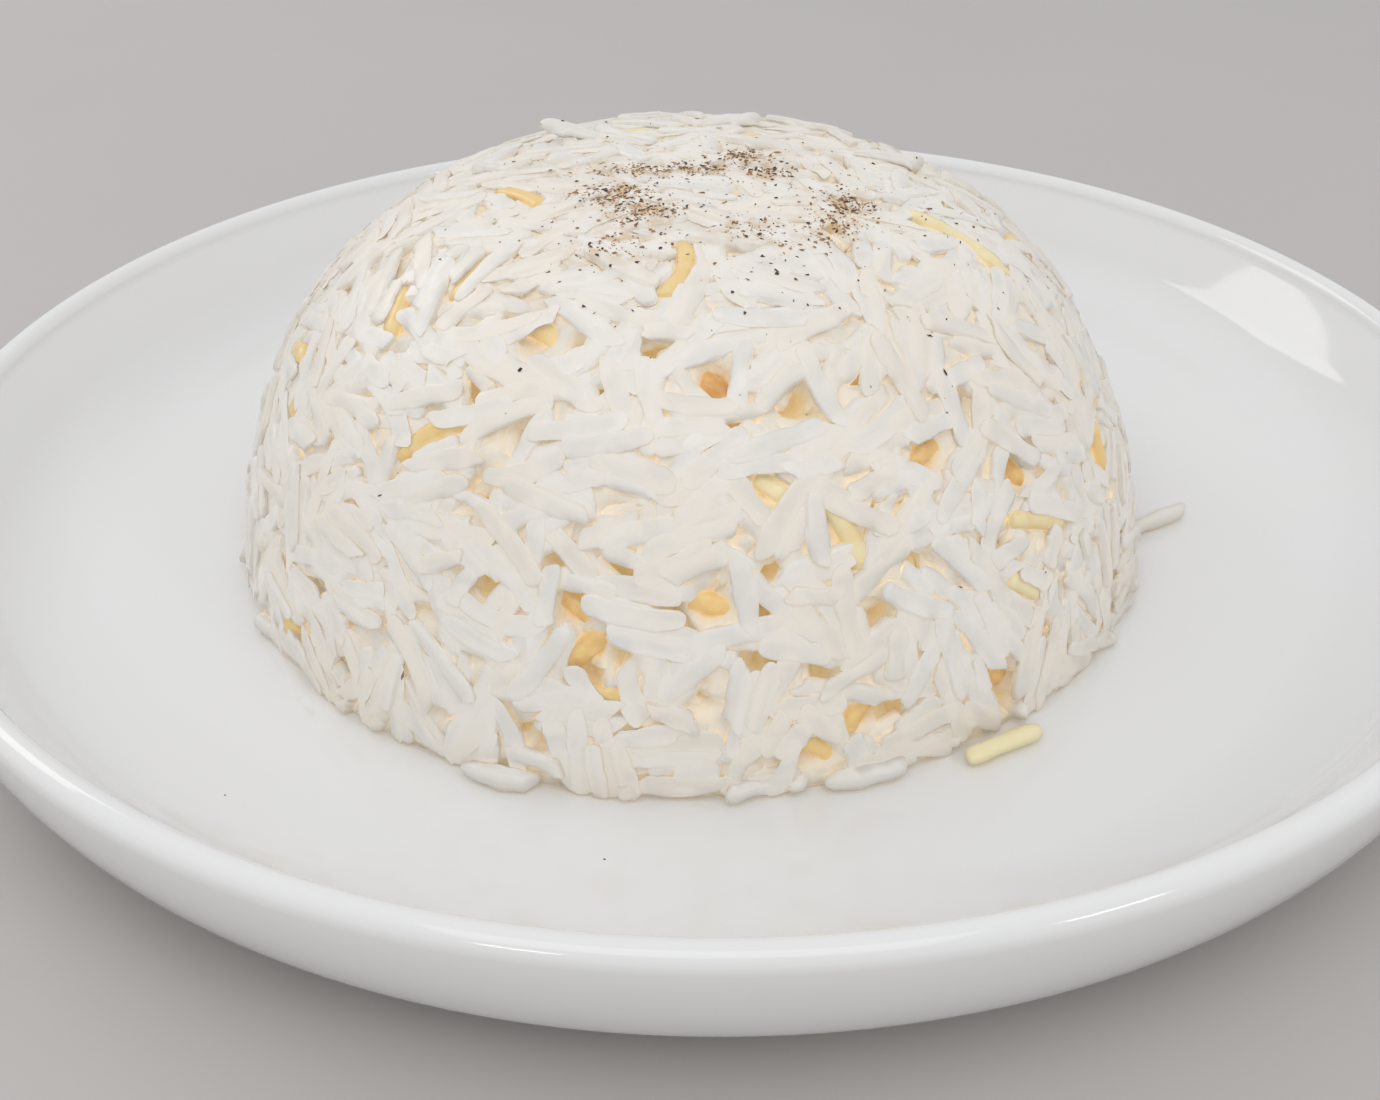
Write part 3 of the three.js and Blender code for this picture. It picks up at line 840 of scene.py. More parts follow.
def seen_on_dome(x, y):
    """The point of the dome that the photo shows at a pixel, from the middle of its base."""
    pixel = Vector((x - IMAGE_WIDTH / 2, IMAGE_HEIGHT / 2 - y, -FOCAL_LENGTH)).normalized()
    ray = np.array(CAMERA_TURN.to_3x3() @ pixel)
    away = np.linspace(*DOME_AWAY, RAY_STEPS)
    points = np.array(CAMERA_PLACE) - MOUND_MIDDLE + away[:, None] * ray
    depth = depth_of(points)
    inside = (depth > 0).argmax()
    before = inside - 1
    part = depth[before] / (depth[before] - depth[inside])
    return points[before] + part * (points[inside] - points[before])


def angles_of(point):
    """Azimuth and elevation of a point, from the middle of the dome's base."""
    return math.atan2(point[1], point[0]), math.atan2(point[2], math.hypot(point[0], point[1]))


def seen_place(x, y):
    """Azimuth and elevation of what the photo shows at a pixel, in whole degrees."""
    return tuple(round(math.degrees(angle)) for angle in angles_of(seen_on_dome(x, y)))


def seen_piece(start, end):
    """Where a piece between two pixels lies: azimuth, elevation and turn, in whole degrees."""
    first, last = seen_on_dome(*start), seen_on_dome(*end)
    azimuth, elevation = angles_of((first + last) / 2)
    level = np.array([-math.sin(azimuth), math.cos(azimuth), 0])
    uphill = np.cross([math.cos(azimuth) * math.cos(elevation),
                       math.sin(azimuth) * math.cos(elevation), math.sin(elevation)], level)
    along = last - first
    turn = math.atan2(along @ uphill, along @ level)
    return tuple(round(math.degrees(angle)) for angle in (azimuth, elevation, turn))


# ================================================================== laying the heap


EMPTY = -1  # the owner of a rod that only keeps a space free


class Heap:
    """The pieces laid so far, each as a rod with round ends, round the dome's middle."""

    def __init__(self, room_for=16000):
        self.starts = np.empty((room_for, 3))
        self.ends = np.empty((room_for, 3))
        self.radii = np.empty(room_for)
        self.owners = np.empty(room_for, int)
        self.count = 0

    def add(self, start, end, radius, owner=None):
        """Adds a rod, and gives the number of the piece that it belongs to."""
        number = self.count if owner is None else owner
        self.starts[self.count] = start
        self.ends[self.count] = end
        self.radii[self.count] = radius
        self.owners[self.count] = number
        self.count += 1
        return number

    def clearance(self, points, owner):
        """How far each point of a piece is from the nearest other piece, negative inside it."""
        starts = self.starts[: self.count]
        ends = self.ends[: self.count]
        owners = self.owners[: self.count]
        others = (owners != owner) & (owners != EMPTY)
        away = np.linalg.norm((starts + ends) / 2 - points.mean(axis=0), axis=1)
        near = others & (away < 14 * MM)
        along = (ends - starts)[near][None]
        apart = points[:, None] - starts[near][None]
        part = (apart * along).sum(-1) / np.maximum((along * along).sum(-1), 1e-12)
        closest = apart - np.clip(part, 0, 1)[..., None] * along
        gaps = np.linalg.norm(closest, axis=-1) - self.radii[: self.count][near]
        return gaps.min(axis=1, initial=1.0)

    def room(self, starts, ends, radius, squeeze):
        """How much room each of these rods has, negative where it doesn't fit.

        Two pieces may overlap by squeeze, as soft grains pressed together do.
        """
        middles = (self.starts[: self.count] + self.ends[: self.count]) / 2
        own = (starts[0] + ends[-1]) / 2
        near = np.linalg.norm(middles - own, axis=1) < 18 * MM
        if not near.any():
            return np.full(len(starts), 1.0)
        gaps = rod_gaps(
            starts[:, None], ends[:, None],
            self.starts[: self.count][near][None], self.ends[: self.count][near][None],
        )
        slack = np.where(self.owners[: self.count][near] == EMPTY, 0, squeeze)
        return (gaps + slack[None] - self.radii[: self.count][near][None] - radius).min(axis=1)


def rod_gaps(start_a, end_a, start_b, end_b):
    """Distances between straight segments."""
    along_a = end_a - start_a
    along_b = end_b - start_b
    apart = start_a - start_b
    aa = (along_a * along_a).sum(-1)
    bb = np.maximum((along_b * along_b).sum(-1), 1e-12)
    ab = (along_a * along_b).sum(-1)
    ap = (along_a * apart).sum(-1)
    bp = (along_b * apart).sum(-1)
    spread = aa * bb - ab * ab
    part_a = np.where(spread > 1e-14, (ab * bp - bb * ap) / np.maximum(spread, 1e-14), 0.5)
    part_a = np.clip(part_a, 0, 1)
    part_b = np.clip((ab * part_a + bp) / bb, 0, 1)
    part_a = np.clip((ab * part_b - ap) / aa, 0, 1)
    closest = apart + part_a[..., None] * along_a - part_b[..., None] * along_b
    return np.linalg.norm(closest, axis=-1)


HEAP = Heap()
TURNS_TRIED = 9
FREE = 1.0  # a piece that may stand out of the mould's surface as far as it likes
FRONT_UNEVEN = 0.28 * MM  # how much grains differ in how far they stand out, in front
EDGE_UNEVEN = 0.55 * MM  # and at the sides and behind the top, where they make the outline
BACK_FROM = 8 * MM  # behind the dome's middle
EDGE_FROM = 50 * MM  # to either side of it


def lifted(middles, along, half, radius):
    """The middles, raised where an end would reach under the foot of the dome."""
    low = middles[..., 2] - np.abs(along[..., 2]) * half - radius
    raised = middles.copy()
    raised[..., 2] += np.maximum(-low, 0)
    return raised


def try_piece(place, alongs, length, radius, depths, squeeze):
    """Presses a piece out from inside until it meets others or the mould's surface.

    Of the directions given, the one that gets furthest out is taken, and of those the one
    that lies closest to its neighbours. Returns its number, middle and direction, or None.
    """
    half = length / 2 - radius
    middles = place.point - (radius + depths)[None, :, None] * place.outward
    middles = np.repeat(middles, len(alongs), axis=0)
    middles = lifted(middles, alongs[:, None], half, radius)
    reach = alongs[:, None] * half
    room = HEAP.room(
        (middles - reach).reshape(-1, 3), (middles + reach).reshape(-1, 3), radius, squeeze,
    ).reshape(len(alongs), len(depths))
    fits = room > 0
    if not fits.any():
        return None
    first = np.where(fits.any(axis=1), fits.argmax(axis=1), len(depths))
    spare = room[np.arange(len(alongs)), np.minimum(first, len(depths) - 1)]
    best = np.lexsort((spare, first))[0]
    middle = middles[best, first[best]]
    owner = HEAP.add(middle - reach[best, 0], middle + reach[best, 0], radius)
    return owner, middle, alongs[best]


LENGTH_COLUMN = 5  # of a batch's row


class Batch:
    """Pieces of one kind: where each lies and its sizes, as rows that become a mesh."""

    def __init__(self):
        self.rows = []

    def add(self, owner, middle, along, outward, length, width, thickness, bend, tone, proud):
        across = np.cross(outward, along)
        across /= np.linalg.norm(across)
        up = np.cross(along, across)
        sizes = (length, width, thickness, bend, tone, proud)
        self.rows.append((owner, middle, along, across, up, *sizes))

    def split(self, limit):
        """Two batches of its pieces: those up to this length, and the longer ones."""
        shorter, longer = Batch(), Batch()
        for row in self.rows:
            (longer if row[LENGTH_COLUMN] > limit else shorter).rows.append(row)
        return shorter, longer

    def columns(self):
        return [np.array(column) for column in zip(*self.rows)]


def lay_grain(batch, rng, settings, place, alongs, length, depths, squeeze):
    """Lays one grain at a place, in the direction of those given that suits it best."""
    width = settings.width * rng.uniform(0.88, 1.1)
    thickness = width * rng.uniform(0.8, 0.95)
    laid = try_piece(place, alongs, length, (width + thickness) / 4, depths, squeeze)
    bend = rng.normal(0, 0.5 * MM) * (length / settings.length) ** 2
    at_edge = place.point[1] > BACK_FROM or abs(place.point[0]) > EDGE_FROM
    unevenness = EDGE_UNEVEN if at_edge else FRONT_UNEVEN
    proud = rng.normal(0.0, unevenness)
    tone = rng.uniform(0, 1)
    if laid is not None:
        batch.add(*laid, place.outward, length, width, thickness, bend, tone, proud)


def lay_shown_grains(batch, rng, settings):
    """The grains that stand out in the front, and those along the dome's upper edge."""
    depths = np.linspace(-0.95, 0.05, 5) * MM
    for start, end, length in GRAINS_SHOWN:
        azimuth, elevation, turn = seen_piece(start, end)
        place = Place(math.radians(azimuth), math.radians(elevation))
        alongs = np.array([place.direction(math.radians(turn), 0.0)])
        lay_grain(
            batch, rng, settings, place, alongs, length * MM, depths, GRAINS_SHOWN_OVERLAP,
        )
    for ends in GRAINS_PROUD:
        start, end = (np.array(point) * MM - MOUND_MIDDLE for point in ends)
        middle = (start + end) / 2
        length = np.linalg.norm(end - start)
        along = (end - start) / length
        radius = settings.width * 0.45
        owner = HEAP.add(start + along * radius, end - along * radius, radius)
        sizes = (length, settings.width, settings.width * 0.85, 0.3 * MM)
        batch.add(owner, middle, along, outward_at(middle[None])[0], *sizes, 0.2, FREE)


def lay_grains(batch, rng, settings, tries, depths, lengths, lean, squeeze):
    """Tries places all over the dome, and keeps the grains that fit between the others.

    The depths, in millimetres, are how far under the mould's surface a grain may end up.
    """
    shallow, deep = depths
    steps = np.linspace(shallow, deep, max(2, round((deep - shallow) / 0.25) + 1)) * MM
    for _ in range(tries):
        place = Place(rng.uniform(0, TURN), math.asin(rng.uniform(0, 1)))
        length = settings.length * rng.uniform(*lengths)
        tilt = rng.normal(0, lean)
        sunk = 0.35 * length * abs(math.sin(tilt))
        turns = rng.uniform(0, math.pi) + np.arange(TURNS_TRIED) * math.pi / TURNS_TRIED
        alongs = np.array([place.direction(turn, tilt) for turn in turns])
        lay_grain(batch, rng, settings, place, alongs, length, steps + sunk, squeeze)


def lay_foot_grains(batch, rng, settings, tries):
    """Grains that lie flat on the plate round the foot of the dome."""
    for _ in range(tries):
        azimuth = rng.uniform(0, TURN)
        place = Place(azimuth, 0.0)
        length = settings.length * rng.uniform(0.55, 1.0)
        width = settings.width * rng.uniform(0.9, 1.1)
        thickness = width * 0.88
        radius = (width + thickness) / 4
        turn = rng.normal(0, 0.8)
        along = place.direction(0, 0) * math.cos(turn) + place.outward * math.sin(turn)
        reach = 0.5 * length * abs(math.sin(turn))
        middle = place.point + place.outward * (rng.uniform(-1.0, 1.2) * MM - reach)
        middle[2] = thickness / 2
        half = along * (length / 2 - radius)
        if HEAP.room((middle - half)[None], (middle + half)[None], radius, 0.4 * MM)[0] < 0:
            continue
        owner = HEAP.add(middle - half, middle + half, radius)
        sizes = (length, width, thickness, rng.normal(0, 0.4 * MM))
        up = np.array([0.0, 0.0, 1.0])
        batch.add(owner, middle, along, up, *sizes, rng.uniform(0, 1), FREE)


# ================================================================== slim pieces as meshes


SECTION_POWER = 2.8  # 2 would make a round section, and more a squarer one
END_TAPER = 0.08  # how much one half of a piece is thicker than the other
END_SLANT = 0.75  # how obliquely the ends are cut off


def uneven_reach(rng, count, stations, angles, bluntness, wobble):
    """How far each ring of each piece reaches at each angle, as a part of its half width."""
    section = (np.abs(np.cos(angles)) ** SECTION_POWER
               + np.abs(np.sin(angles)) ** SECTION_POWER) ** (-1 / SECTION_POWER)
    power = rng.uniform(*bluntness, size=(count, 2))
    side_power = np.where(stations[None] < 0, power[:, :1], power[:, 1:])
    profile = np.sqrt(1 - np.abs(stations[None]) ** side_power)
    profile = profile * (1 + END_TAPER * rng.normal(size=(count, 1)) * stations[None])
    phase = rng.uniform(0, TURN, size=(count, 3, 1, 1))
    lengthways = stations[None, :, None]
    round_it = angles[None, None]
    ripple = np.sin(4.2 * lengthways + phase[:, 0])
    ripple = ripple + 0.8 * np.cos(2 * round_it + phase[:, 1] + 1.5 * lengthways)
    ripple = ripple + 0.7 * np.sin(9 * lengthways + round_it + phase[:, 2])
    return profile[:, :, None] * section * (1 + wobble * ripple)


def slim_mesh(batch, rng, stations, sides, bluntness, wobble):
    """Vertices, faces and point values of all the pieces of a batch.

    Each piece runs along its own direction, from ring to ring, with round, uneven ends, and
    its outer side is flattened where the mould has pressed it.
    """
    owner, middle, along, across, up, length, width, thickness, bend, tone, proud = (
        batch.columns()
    )
    count = len(length)
    stations = np.asarray(stations)
    angles = np.arange(sides) * TURN / sides + math.pi / sides
    reach = uneven_reach(rng, count, stations, angles, bluntness, wobble)
    arch = bend[:, None] * (1 - stations[None] ** 2)
    x = np.repeat((stations[None] * length[:, None] / 2)[:, :, None], sides, axis=2)
    slant = END_SLANT * rng.normal(size=(count, 1, 1)) * np.abs(stations[None, :, None]) ** 6
    y = reach * np.cos(angles) * width[:, None, None] / 2 + arch[:, :, None]
    z = reach * np.sin(angles) * thickness[:, None, None] / 2
    x = x + slant * (y - arch[:, :, None])
    tip_x = np.stack([-length / 2, length / 2], axis=1) * 0.995
    local = np.concatenate(
        [
            np.stack([x, y, z], axis=-1).reshape(count, -1, 3),
            np.stack([tip_x, np.zeros((count, 2)), np.zeros((count, 2))], axis=-1),
        ],
        axis=1,
    )
    axes = np.stack([along, across, up], axis=1)
    world = middle[:, None] + np.einsum("nvk,nkc->nvc", local, axes)
    world = pressed(world, proud)
    world[..., 2] = np.maximum(world[..., 2], 0.02 * MM)
    faces = slim_faces(count, len(stations), sides)
    own = rng.uniform(0, 0.4, size=(count, 1, 3))
    clear = np.concatenate([HEAP.clearance(*piece) for piece in zip(world, owner)])
    touch = np.clip(1 - clear / TOUCH_REACH, 0, 1)
    world = joined(world.reshape(-1, 3), touch)
    values = {
        "place": (local + own).reshape(-1, 3),
        "tone": np.repeat(tone, local.shape[1]),
        "depth": depth_of(world),
        "touch": touch,
        "pepper": peppered(world + MOUND_MIDDLE),
    }
    ends = np.concatenate([np.repeat(stations, sides), [-1, 1]])
    return world + MOUND_MIDDLE, faces, values, np.tile(ends, count)


def joined(points, touch):
    """The points, raised where grains touch, as the starch fills the groove between them."""
    depth = depth_of(points)
    fade = np.clip((1.8 * MM - depth) / (0.9 * MM), 0, 1)
    rise = np.minimum(TOUCH_LIFTS * touch * np.maximum(depth, 0), MOST_LIFTED) * fade
    return points * (1 + rise / np.linalg.norm(points, axis=1))[:, None]


def peppered(points):
    """How much a place is stained by pepper dust, from 0 to 1, in the dense patches."""
    stain = np.zeros(len(points))
    for x, y, reach_x, reach_y, _ in PEPPER_PATCHES:
        apart = np.hypot((points[:, 0] / MM - x) / reach_x, (points[:, 1] / MM - y) / reach_y)
        stain = np.maximum(stain, np.exp(-(apart ** 2)))
    return stain * (points[:, 2] > LOWEST_STAIN)


def pressed(points, proud):
    """The points, moved in where they stand out of the mould's surface by more than allowed."""
    out = -depth_of(points.reshape(-1, 3)).reshape(points.shape[:2]) - proud[:, None]
    soft = 0.12 * MM
    excess = soft * np.logaddexp(0, np.minimum(out / soft, 40))
    excess = np.where(proud[:, None] < FREE, excess, 0)
    return points * (1 - excess / np.linalg.norm(points, axis=-1))[..., None]


def slim_faces(count, rings, sides):
    """Faces of a number of pieces, each of some rings and two tips."""
    quads = []
    tips = []
    for side in range(sides):
        beside = (side + 1) % sides
        for ring in range(rings - 1):
            here = ring * sides
            quads.append((here + side, here + beside, here + sides + beside, here + sides + side))
        last = (rings - 1) * sides
        tips.append((rings * sides, beside, side))
        tips.append((rings * sides + 1, last + side, last + beside))
    offsets = np.arange(count)[:, None, None] * (rings * sides + 2)
    all_quads = (np.array(quads)[None] + offsets).reshape(-1, 4).tolist()
    all_tips = (np.array(tips)[None] + offsets).reshape(-1, 3).tolist()
    return all_quads + all_tips


FINE_STATIONS = [
    -0.985, -0.94, -0.84, -0.68, -0.46, -0.22, 0.0, 0.22, 0.46, 0.68, 0.84, 0.94, 0.985,
]
MIDDLE_STATIONS = [-0.97, -0.85, -0.5, 0.0, 0.5, 0.85, 0.97]
PLAIN_STATIONS = [-0.94, -0.65, 0.0, 0.65, 0.94]
NOODLE_STATIONS = [-0.985, -0.94, -0.75, -0.5, -0.25, 0.0, 0.25, 0.5, 0.75, 0.94, 0.985]


# ================================================================== rice and noodles


def make_noodles(settings):
    rng = np.random.default_rng(31)
    batch = Batch()
    browning = []
    for start, end, turn, length, bend, depth, browned in NOODLES_SHOWN:
        azimuth, elevation, seen_turn = seen_piece(start, end)
        place = Place(math.radians(azimuth), math.radians(elevation))
        along = place.direction(math.radians(seen_turn if turn is None else turn), 0.0)
        lay_noodle(batch, settings, place, along, length * MM, bend * MM, depth * MM)
        browning.append(browned)
    for _ in range(settings.unseen):
        place = Place(rng.uniform(0.0, 1.0) * math.pi, math.asin(rng.uniform(0, 0.8)))
        along = place.direction(rng.uniform(0, math.pi), 0.0)
        length = rng.uniform(6, 13) * MM
        depth = rng.uniform(0, 2.2) * MM
        lay_noodle(batch, settings, place, along, length, rng.uniform(0.2, 1.8) * MM, depth)
        browning.append(rng.uniform(0.2, 0.9))
    lay_fallen(batch, FALLEN_NOODLE, settings.width * 1.05, settings.thickness)
    browning.append(0.06)
    vertices, faces, values, ends = slim_mesh(batch, rng, NOODLE_STATIONS, 12, (9, 16), 0.035)
    per_piece = len(NOODLE_STATIONS) * 12 + 2
    browned = np.repeat(browning, per_piece)
    values["browning"] = browned + 0.10 * browned * np.abs(ends) ** 8
    piece = add_object("noodle_pieces", vertices, faces, noodle_material(settings), values=values)
    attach(piece, "root")
    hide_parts("rice_mound")
    return piece


def lay_noodle(batch, settings, place, along, length, bend, depth):
    """Lays a noodle piece, and keeps the grains off it where it is to show in a gap."""
    radius = (settings.width + settings.thickness) / 4
    middle = place.point - place.outward * (settings.thickness / 2 + depth)
    middle = lifted(middle, along, length / 2 - radius, radius)
    half = along * (length / 2 - radius)
    across = np.cross(place.outward, along)
    owner = HEAP.add(middle - half, middle + across * bend, radius + NOODLE_ROOM)
    HEAP.add(middle + across * bend, middle + half, radius + NOODLE_ROOM, owner)
    if depth > WINDOW_DEPTH:
        HEAP.add(middle, middle + place.outward * depth, WINDOW_RADIUS, EMPTY)
    sizes = (length, settings.width, settings.thickness, bend)
    batch.add(owner, middle, along, place.outward, *sizes, 0.5, 0.25 * MM)


def lay_fallen(batch, ends, width, thickness):
    """A piece lying flat on the plate between two points of the frame."""
    start, end = (np.array([*point, 0.0]) * MM - MOUND_MIDDLE * (1, 1, 0) for point in ends)
    along = (end - start) / np.linalg.norm(end - start)
    middle = (start + end) / 2
    middle[2] = thickness / 2
    radius = (width + thickness) / 4
    owner = HEAP.add(start + along * radius + (0, 0, thickness / 2), end, radius)
    up = np.array([0.0, 0.0, 1.0])
    length = np.linalg.norm(end - start)
    batch.add(owner, middle, along, up, length, width, thickness, 0.1 * MM, 0.3, FREE)


# The layers, from the moulded face inwards: the kind of grain, the places tried, how far under
# the face in millimetres, lengths as parts of a whole grain, how much the grains lean, and how
# far two may overlap in millimetres.
LAYERS = [
    ("whole", 2400, (-0.95, 0.0), (0.85, 1.12), 0.04, 1.2),
    ("short", 2400, (-0.95, 0.0), (0.65, 0.9), 0.04, 1.25),
    ("broken", 2400, (-0.95, 0.0), (0.48, 0.68), 0.04, 1.3),
    ("sunk", 2000, (0.0, 1.0), (0.7, 1.05), 0.1, 1.3),
    ("sunk", 2000, (0.0, 1.0), (0.4, 0.7), 0.1, 1.3),
    ("under", 1000, (1.0, 3.0), (0.7, 1.0), 0.2, 1.0),
    ("under", 1000, (1.0, 3.0), (0.35, 0.6), 0.2, 1.0),
]
FOOT_TRIES = 180
# The pieces: name, kind of grain, rings along a grain and sides round it.
GRAIN_MESHES = [
    ("rice_grains", "whole", FINE_STATIONS, 12),
    ("rice_grains_long", "long", FINE_STATIONS, 12),
    ("rice_grains_short", "short", FINE_STATIONS, 12),
    ("rice_grains_broken", "broken", FINE_STATIONS, 12),
    ("rice_grains_sunk", "sunk", MIDDLE_STATIONS, 10),
    ("rice_grains_under", "under", PLAIN_STATIONS, 8),
]
GRAIN_BLUNTNESS = (6.0, 16.0)
GRAIN_UNEVENNESS = 0.09


def keep_gaps_free(rng):
    """Rods that keep the grains out of the deep gaps, and out of shallow hollows all over."""
    for x, y in GAPS_SHOWN:
        azimuth, elevation = seen_place(x, y)
        place = Place(math.radians(azimuth), math.radians(elevation))
        HEAP.add(place.point, place.point - place.outward * GAP_DEPTH, GAP_RADIUS, EMPTY)
    for _ in range(HOLLOWS):
        place = Place(rng.uniform(0, TURN), math.asin(rng.uniform(0, 1)))
        depth = rng.uniform(*HOLLOW_DEPTHS) * MM
        radius = rng.uniform(*HOLLOW_RADII) * MM
        HEAP.add(place.point, place.point - place.outward * depth, radius, EMPTY)


def make_rice(settings):
    """The grains in layers, from the moulded face inwards, over a core."""
    rng = np.random.default_rng(settings.seed)
    keep_gaps_free(rng)
    batches = {kind: Batch() for kind in ("whole", "short", "broken", "sunk", "under")}
    lay_shown_grains(batches["whole"], rng, settings)
    lay_fallen(batches["whole"], FALLEN_GRAIN, settings.width * 0.9, settings.width * 0.8)
    lay_foot_grains(batches["short"], rng, settings, FOOT_TRIES)
    for kind, tries, depths, lengths, lean, overlap in LAYERS:
        lay_grains(batches[kind], rng, settings, tries, depths, lengths, lean, overlap * MM)
    batches["whole"], batches["long"] = batches["whole"].split(settings.length)
    material = rice_material(settings)
    for name, kind, stations, sides in GRAIN_MESHES:
        vertices, faces, values, _ = slim_mesh(
            batches[kind], rng, stations, sides, GRAIN_BLUNTNESS, GRAIN_UNEVENNESS,
        )
        soften = (outward_at(vertices - MOUND_MIDDLE), values["touch"] * TOUCH_SOFTENS)
        piece = add_object(name, vertices, faces, material, values=values, soften=soften)
        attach(piece, "root")
        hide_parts("rice_mound")


def core_hollows():
    """Where the core is hollow so that a deep noodle or gap shows, and how deep."""
    hollows = [(*seen_place(x, y), GAP_DEPTH) for x, y in GAPS_SHOWN]
    for start, end, _, _, _, depth, _ in NOODLES_SHOWN:
        azimuth, elevation, _ = seen_piece(start, end)
        hollows.append((azimuth, elevation, (depth + 1.0) * MM))
    placed = []
    for azimuth, elevation, depth in hollows:
        place = Place(math.radians(azimuth), math.radians(elevation))
        placed.append((Vector(place.point - place.outward * CORE_DEPTH), depth))
    return placed


def make_core(settings):
    """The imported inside: the dome's form, smaller and lumpy, flat where it stands."""
    elevations = np.linspace(0, math.pi / 2, CORE_RINGS)
    reaches = solve_reach(elevations, CORE_DEPTH)
    profile = [(0, 0)] + [(r * math.cos(e), r * math.sin(e)) for r, e in zip(reaches, elevations)]
    profile[-1] = (0, reaches[-1])
    vertices, faces = lathe(profile, CORE_SEGMENTS)
    hollows = core_hollows()
    moved = []
    for vertex in vertices:
        place = Vector(vertex)
        lump = CORE_LUMPS * noise.noise(place / LUMP_SPAN)
        pit = max(noise.noise(place / PIT_SPAN + PIT_SHIFT) - 0.12, 0) * 3.0
        deep = max(depth * math.exp(-(((place - spot).length / HOLLOW_SPAN) ** 4))
                   for spot, depth in hollows)
        out = (lump - max(PIT_DEPTH * min(pit, 1), deep)) * min(vertex[2] / (2 * MM), 1)
        moved.append(vertex * (1 + out / max(place.length, 1 * MM)))
    moved = np.array(moved)
    values = {"depth": depth_of(moved)}
    core = add_object(
        "rice_core", moved + MOUND_MIDDLE, faces, core_material(settings), values=values,
    )
    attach(core, "root")
    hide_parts("rice_mound")
    return core


# ================================================================== pepper


def surface_trees(names):
    """Search trees of the pieces that pepper lands on."""
    depsgraph = bpy.context.evaluated_depsgraph_get()
    return [BVHTree.FromObject(bpy.data.objects[name], depsgraph) for name in names]


def land(trees, x, y):
    """The first point and normal that a flake falling at this place meets, or None."""
    start, down = Vector((x, y, DROP_HEIGHT)), Vector((0, 0, -1))
    hits = [tree.ray_cast(start, down) for tree in trees]
    hits = [hit for hit in hits if hit[0] is not None]
    if not hits:
        return None
    nearest = min(hits, key=lambda hit: hit[3])
    return np.array(nearest[0]), np.array(nearest[1])


def pepper_places(rng, settings):
    """Where flakes fall, over the frame in x and y, and how large each is."""
    places = []
    for x, y, reach_x, reach_y, count in PEPPER_PATCHES:
        for _ in range(count):
            for spread, sizes, tones in PEPPER_SORTS:
                fallen_x = x + rng.normal(0, reach_x * spread)
                fallen_y = y + rng.normal(0, reach_y * spread)
                places.append((fallen_x, fallen_y, rng.uniform(*sizes), rng.uniform(*tones)))
    for _ in range(settings.scattered):
        x, y = SCATTER_MIDDLE + rng.normal(0, 1, 2) * SCATTER_REACH
        scale = 0.25 + 0.75 * rng.uniform(0, 1) ** 2.5
        places.append((x, y, scale, rng.uniform(0, 0.9)))
    return places


FLAKE_UNEVEN = 0.35
# Half a flake's length, width and thickness are 1 here.
FLAKE_CORNERS = [
    (1, 0, 0), (0.45, 0.9, 0.1), (-0.5, 0.85, 0), (-1, 0.1, 0.1), (-0.4, -0.8, 0),
    (0.55, -0.85, 0.1), (0.1, 0.1, 0.8), (0, 0, -0.6),
]


def flake_mesh(rng, spots):
    """One mesh of angular chips, each lying on its spot: point, normal, size, tone."""
    corners = np.array(FLAKE_CORNERS)
    faces = [(side, (side + 1) % 6, 6) for side in range(6)]
    faces += [((side + 1) % 6, side, 7) for side in range(6)]
    vertices = []
    tones = []
    all_faces = []
    for point, normal, size, tone in spots:
        side = np.cross(normal, rng.normal(size=3))
        side /= np.linalg.norm(side)
        beside = np.cross(normal, side)
        shape = corners * (1 + FLAKE_UNEVEN * rng.normal(size=corners.shape) * (1, 1, 0.5))
        shape = shape * (size / 2, size / 2 * rng.uniform(0.3, 0.8), size * 0.22)
        first = len(vertices) * len(corners)
        vertices.append(point + normal * size * 0.1 + shape @ np.array([side, beside, normal]))
        all_faces += [tuple(first + corner for corner in face) for face in faces]
        tones += [tone] * len(corners)
    return np.vstack(vertices), all_faces, np.array(tones)


def make_pepper(settings):
    rng = np.random.default_rng(12)
    trees = surface_trees(PEPPERED)
    spots = []
    for x, y, scale, tone in pepper_places(rng, settings):
        landed = land(trees, x * MM, y * MM)
        if landed is None or landed[0][2] < LOWEST_FLAKE:
            continue
        spots.append((*landed, settings.size * scale, tone))
    for x, y in PEPPER_ON_PLATE:
        landed = land(trees, x * MM, y * MM)
        spots.append((*landed, settings.size * rng.uniform(0.7, 1.6), 0.1))
    vertices, faces, tones = flake_mesh(rng, spots)
    material = pepper_material(settings)
    pepper = add_object("pepper_flakes", vertices, faces, material, False, {"tone": tones})
    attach(pepper, "root")
    return pepper


# ================================================================== the stage


# Name, place, width and height, the setting that holds the power, and the share of it.
LIGHTS = [
    ("overhead", (-0.02, -0.33, 0.66), (0.6, 0.45), "overhead", 1.0),
    ("window", (-0.72, 0.52, 0.62), (0.5, 0.42), "window", 1.0),
    ("lamp_right", (0.70, -0.60, 0.66), (0.22, 0.12), "lamps", 1.0),
    ("lamp_left", (-0.36, -0.85, 0.52), (0.16, 0.10), "lamps", 0.6),
]
LIT_PLACE = Vector((0, 0, 0.03))
LIGHT_COLOUR = (1, 0.985, 0.96)
SKY_COLOUR = (0.96, 0.97, 1.0, 1)
FLOOR_HALF_WIDTH = 3.0


def make_floor(settings):
    half = FLOOR_HALF_WIDTH
    corners = [(-half, -half, 0), (half, -half, 0), (half, half, 0), (-half, half, 0)]
    floor = add_object("floor", corners, [(0, 1, 2, 3)], floor_material(settings), False)


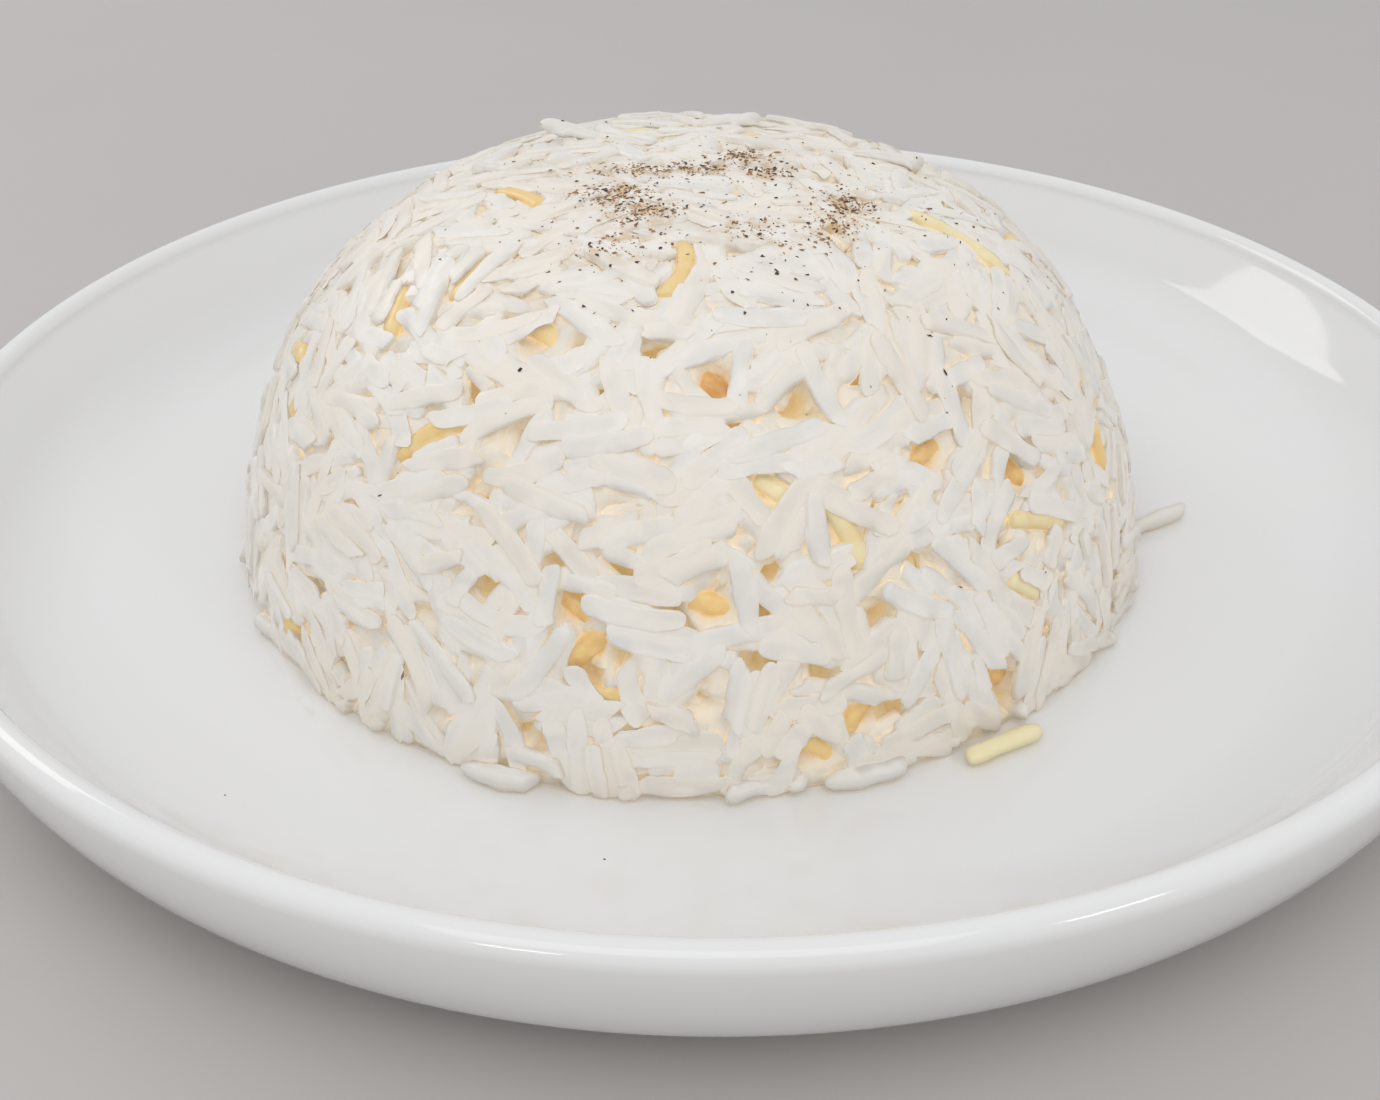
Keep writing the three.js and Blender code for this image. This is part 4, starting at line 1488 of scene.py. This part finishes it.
def add_light(name, place, size, power):
    """A rectangular light at a place, shining at the dish."""
    light = bpy.data.lights.new(name, "AREA")
    light.shape = "RECTANGLE"
    light.size, light.size_y = size
    light.energy = power
    light.color = LIGHT_COLOUR
    lamp = bpy.data.objects.new(name, light)
    lamp.location = place
    lamp.rotation_euler = (LIT_PLACE - lamp.location).to_track_quat("-Z", "Y").to_euler()
    bpy.context.scene.collection.objects.link(lamp)


def make_lights(settings):
    for name, place, size, setting, share in LIGHTS:
        add_light(name, place, size, getattr(settings, setting) * share)
    world = bpy.data.worlds.new("soft_sky")
    world.use_nodes = True
    back = world.node_tree.nodes["Background"]
    back.inputs[0].default_value = SKY_COLOUR
    back.inputs[1].default_value = settings.sky
    bpy.context.scene.world = world


def make_camera():
    camera_data = bpy.data.cameras.new("camera")
    camera_data.sensor_fit = "HORIZONTAL"
    camera_data.sensor_width = SENSOR_WIDTH
    camera_data.lens = SENSOR_WIDTH * FOCAL_LENGTH / IMAGE_WIDTH
    camera_data.clip_start = 0.01
    camera = bpy.data.objects.new("camera", camera_data)
    camera.matrix_world = Matrix.Translation(CAMERA_PLACE) @ CAMERA_TURN
    bpy.context.scene.collection.objects.link(camera)
    bpy.context.scene.camera = camera


# ================================================================== operators


class PILAF_OT_plate(bpy.types.Operator):
    """Make the glazed plate"""

    bl_idname = "pilaf.plate"
    bl_label = "Plate"

    def execute(self, context):
        make_plate(context.scene.pilaf_plate)
        return {"FINISHED"}


class PILAF_OT_noodles(bpy.types.Operator):
    """Make the golden noodle pieces in the dome and the one beside it"""

    bl_idname = "pilaf.noodles"
    bl_label = "Noodle pieces"

    def execute(self, context):
        make_noodles(context.scene.pilaf_noodles)
        return {"FINISHED"}


class PILAF_OT_rice(bpy.types.Operator):
    """Make the core and the layers of grains round it"""

    bl_idname = "pilaf.rice"
    bl_label = "Rice"

    def execute(self, context):
        make_rice(context.scene.pilaf_rice)
        make_core(context.scene.pilaf_rice)
        return {"FINISHED"}


class PILAF_OT_pepper(bpy.types.Operator):
    """Scatter ground pepper over the dome and the plate"""

    bl_idname = "pilaf.pepper"
    bl_label = "Pepper"

    def execute(self, context):
        make_pepper(context.scene.pilaf_pepper)
        return {"FINISHED"}


class PILAF_OT_stage(bpy.types.Operator):
    """Set up the floor, the lights and the camera"""

    bl_idname = "pilaf.stage"
    bl_label = "Stage"

    def execute(self, context):
        settings = context.scene.pilaf_stage
        make_floor(settings)
        make_lights(settings)
        make_camera()
        context.scene.view_settings.view_transform = "Standard"
        return {"FINISHED"}


class PILAF_PT_panel(bpy.types.Panel):
    """Lists the steps that build the dish"""

    bl_label = "Plate of rice pilaf"
    bl_space_type = "VIEW_3D"
    bl_region_type = "UI"
    bl_category = "Pilaf"

    def draw(self, context):
        for step in STEPS:
            self.layout.operator(step.bl_idname)


STEPS = (PILAF_OT_plate, PILAF_OT_noodles, PILAF_OT_rice, PILAF_OT_pepper, PILAF_OT_stage)
SETTINGS = {
    "pilaf_plate": PlateSettings,
    "pilaf_noodles": NoodleSettings,
    "pilaf_rice": RiceSettings,
    "pilaf_pepper": PepperSettings,
    "pilaf_stage": StageSettings,
}


def register():
    for kind in (*SETTINGS.values(), *STEPS, PILAF_PT_panel):
        bpy.utils.register_class(kind)
    for name, kind in SETTINGS.items():
        setattr(bpy.types.Scene, name, PointerProperty(type=kind))


def unregister():
    for name in SETTINGS:
        delattr(bpy.types.Scene, name)
    for kind in reversed((*SETTINGS.values(), *STEPS, PILAF_PT_panel)):
        bpy.utils.unregister_class(kind)


def main():
    register()
    bpy.ops.pilaf.plate()
    bpy.ops.pilaf.noodles()
    bpy.ops.pilaf.rice()
    bpy.ops.pilaf.pepper()
    bpy.ops.pilaf.stage()


if __name__ == "__main__":
    main()
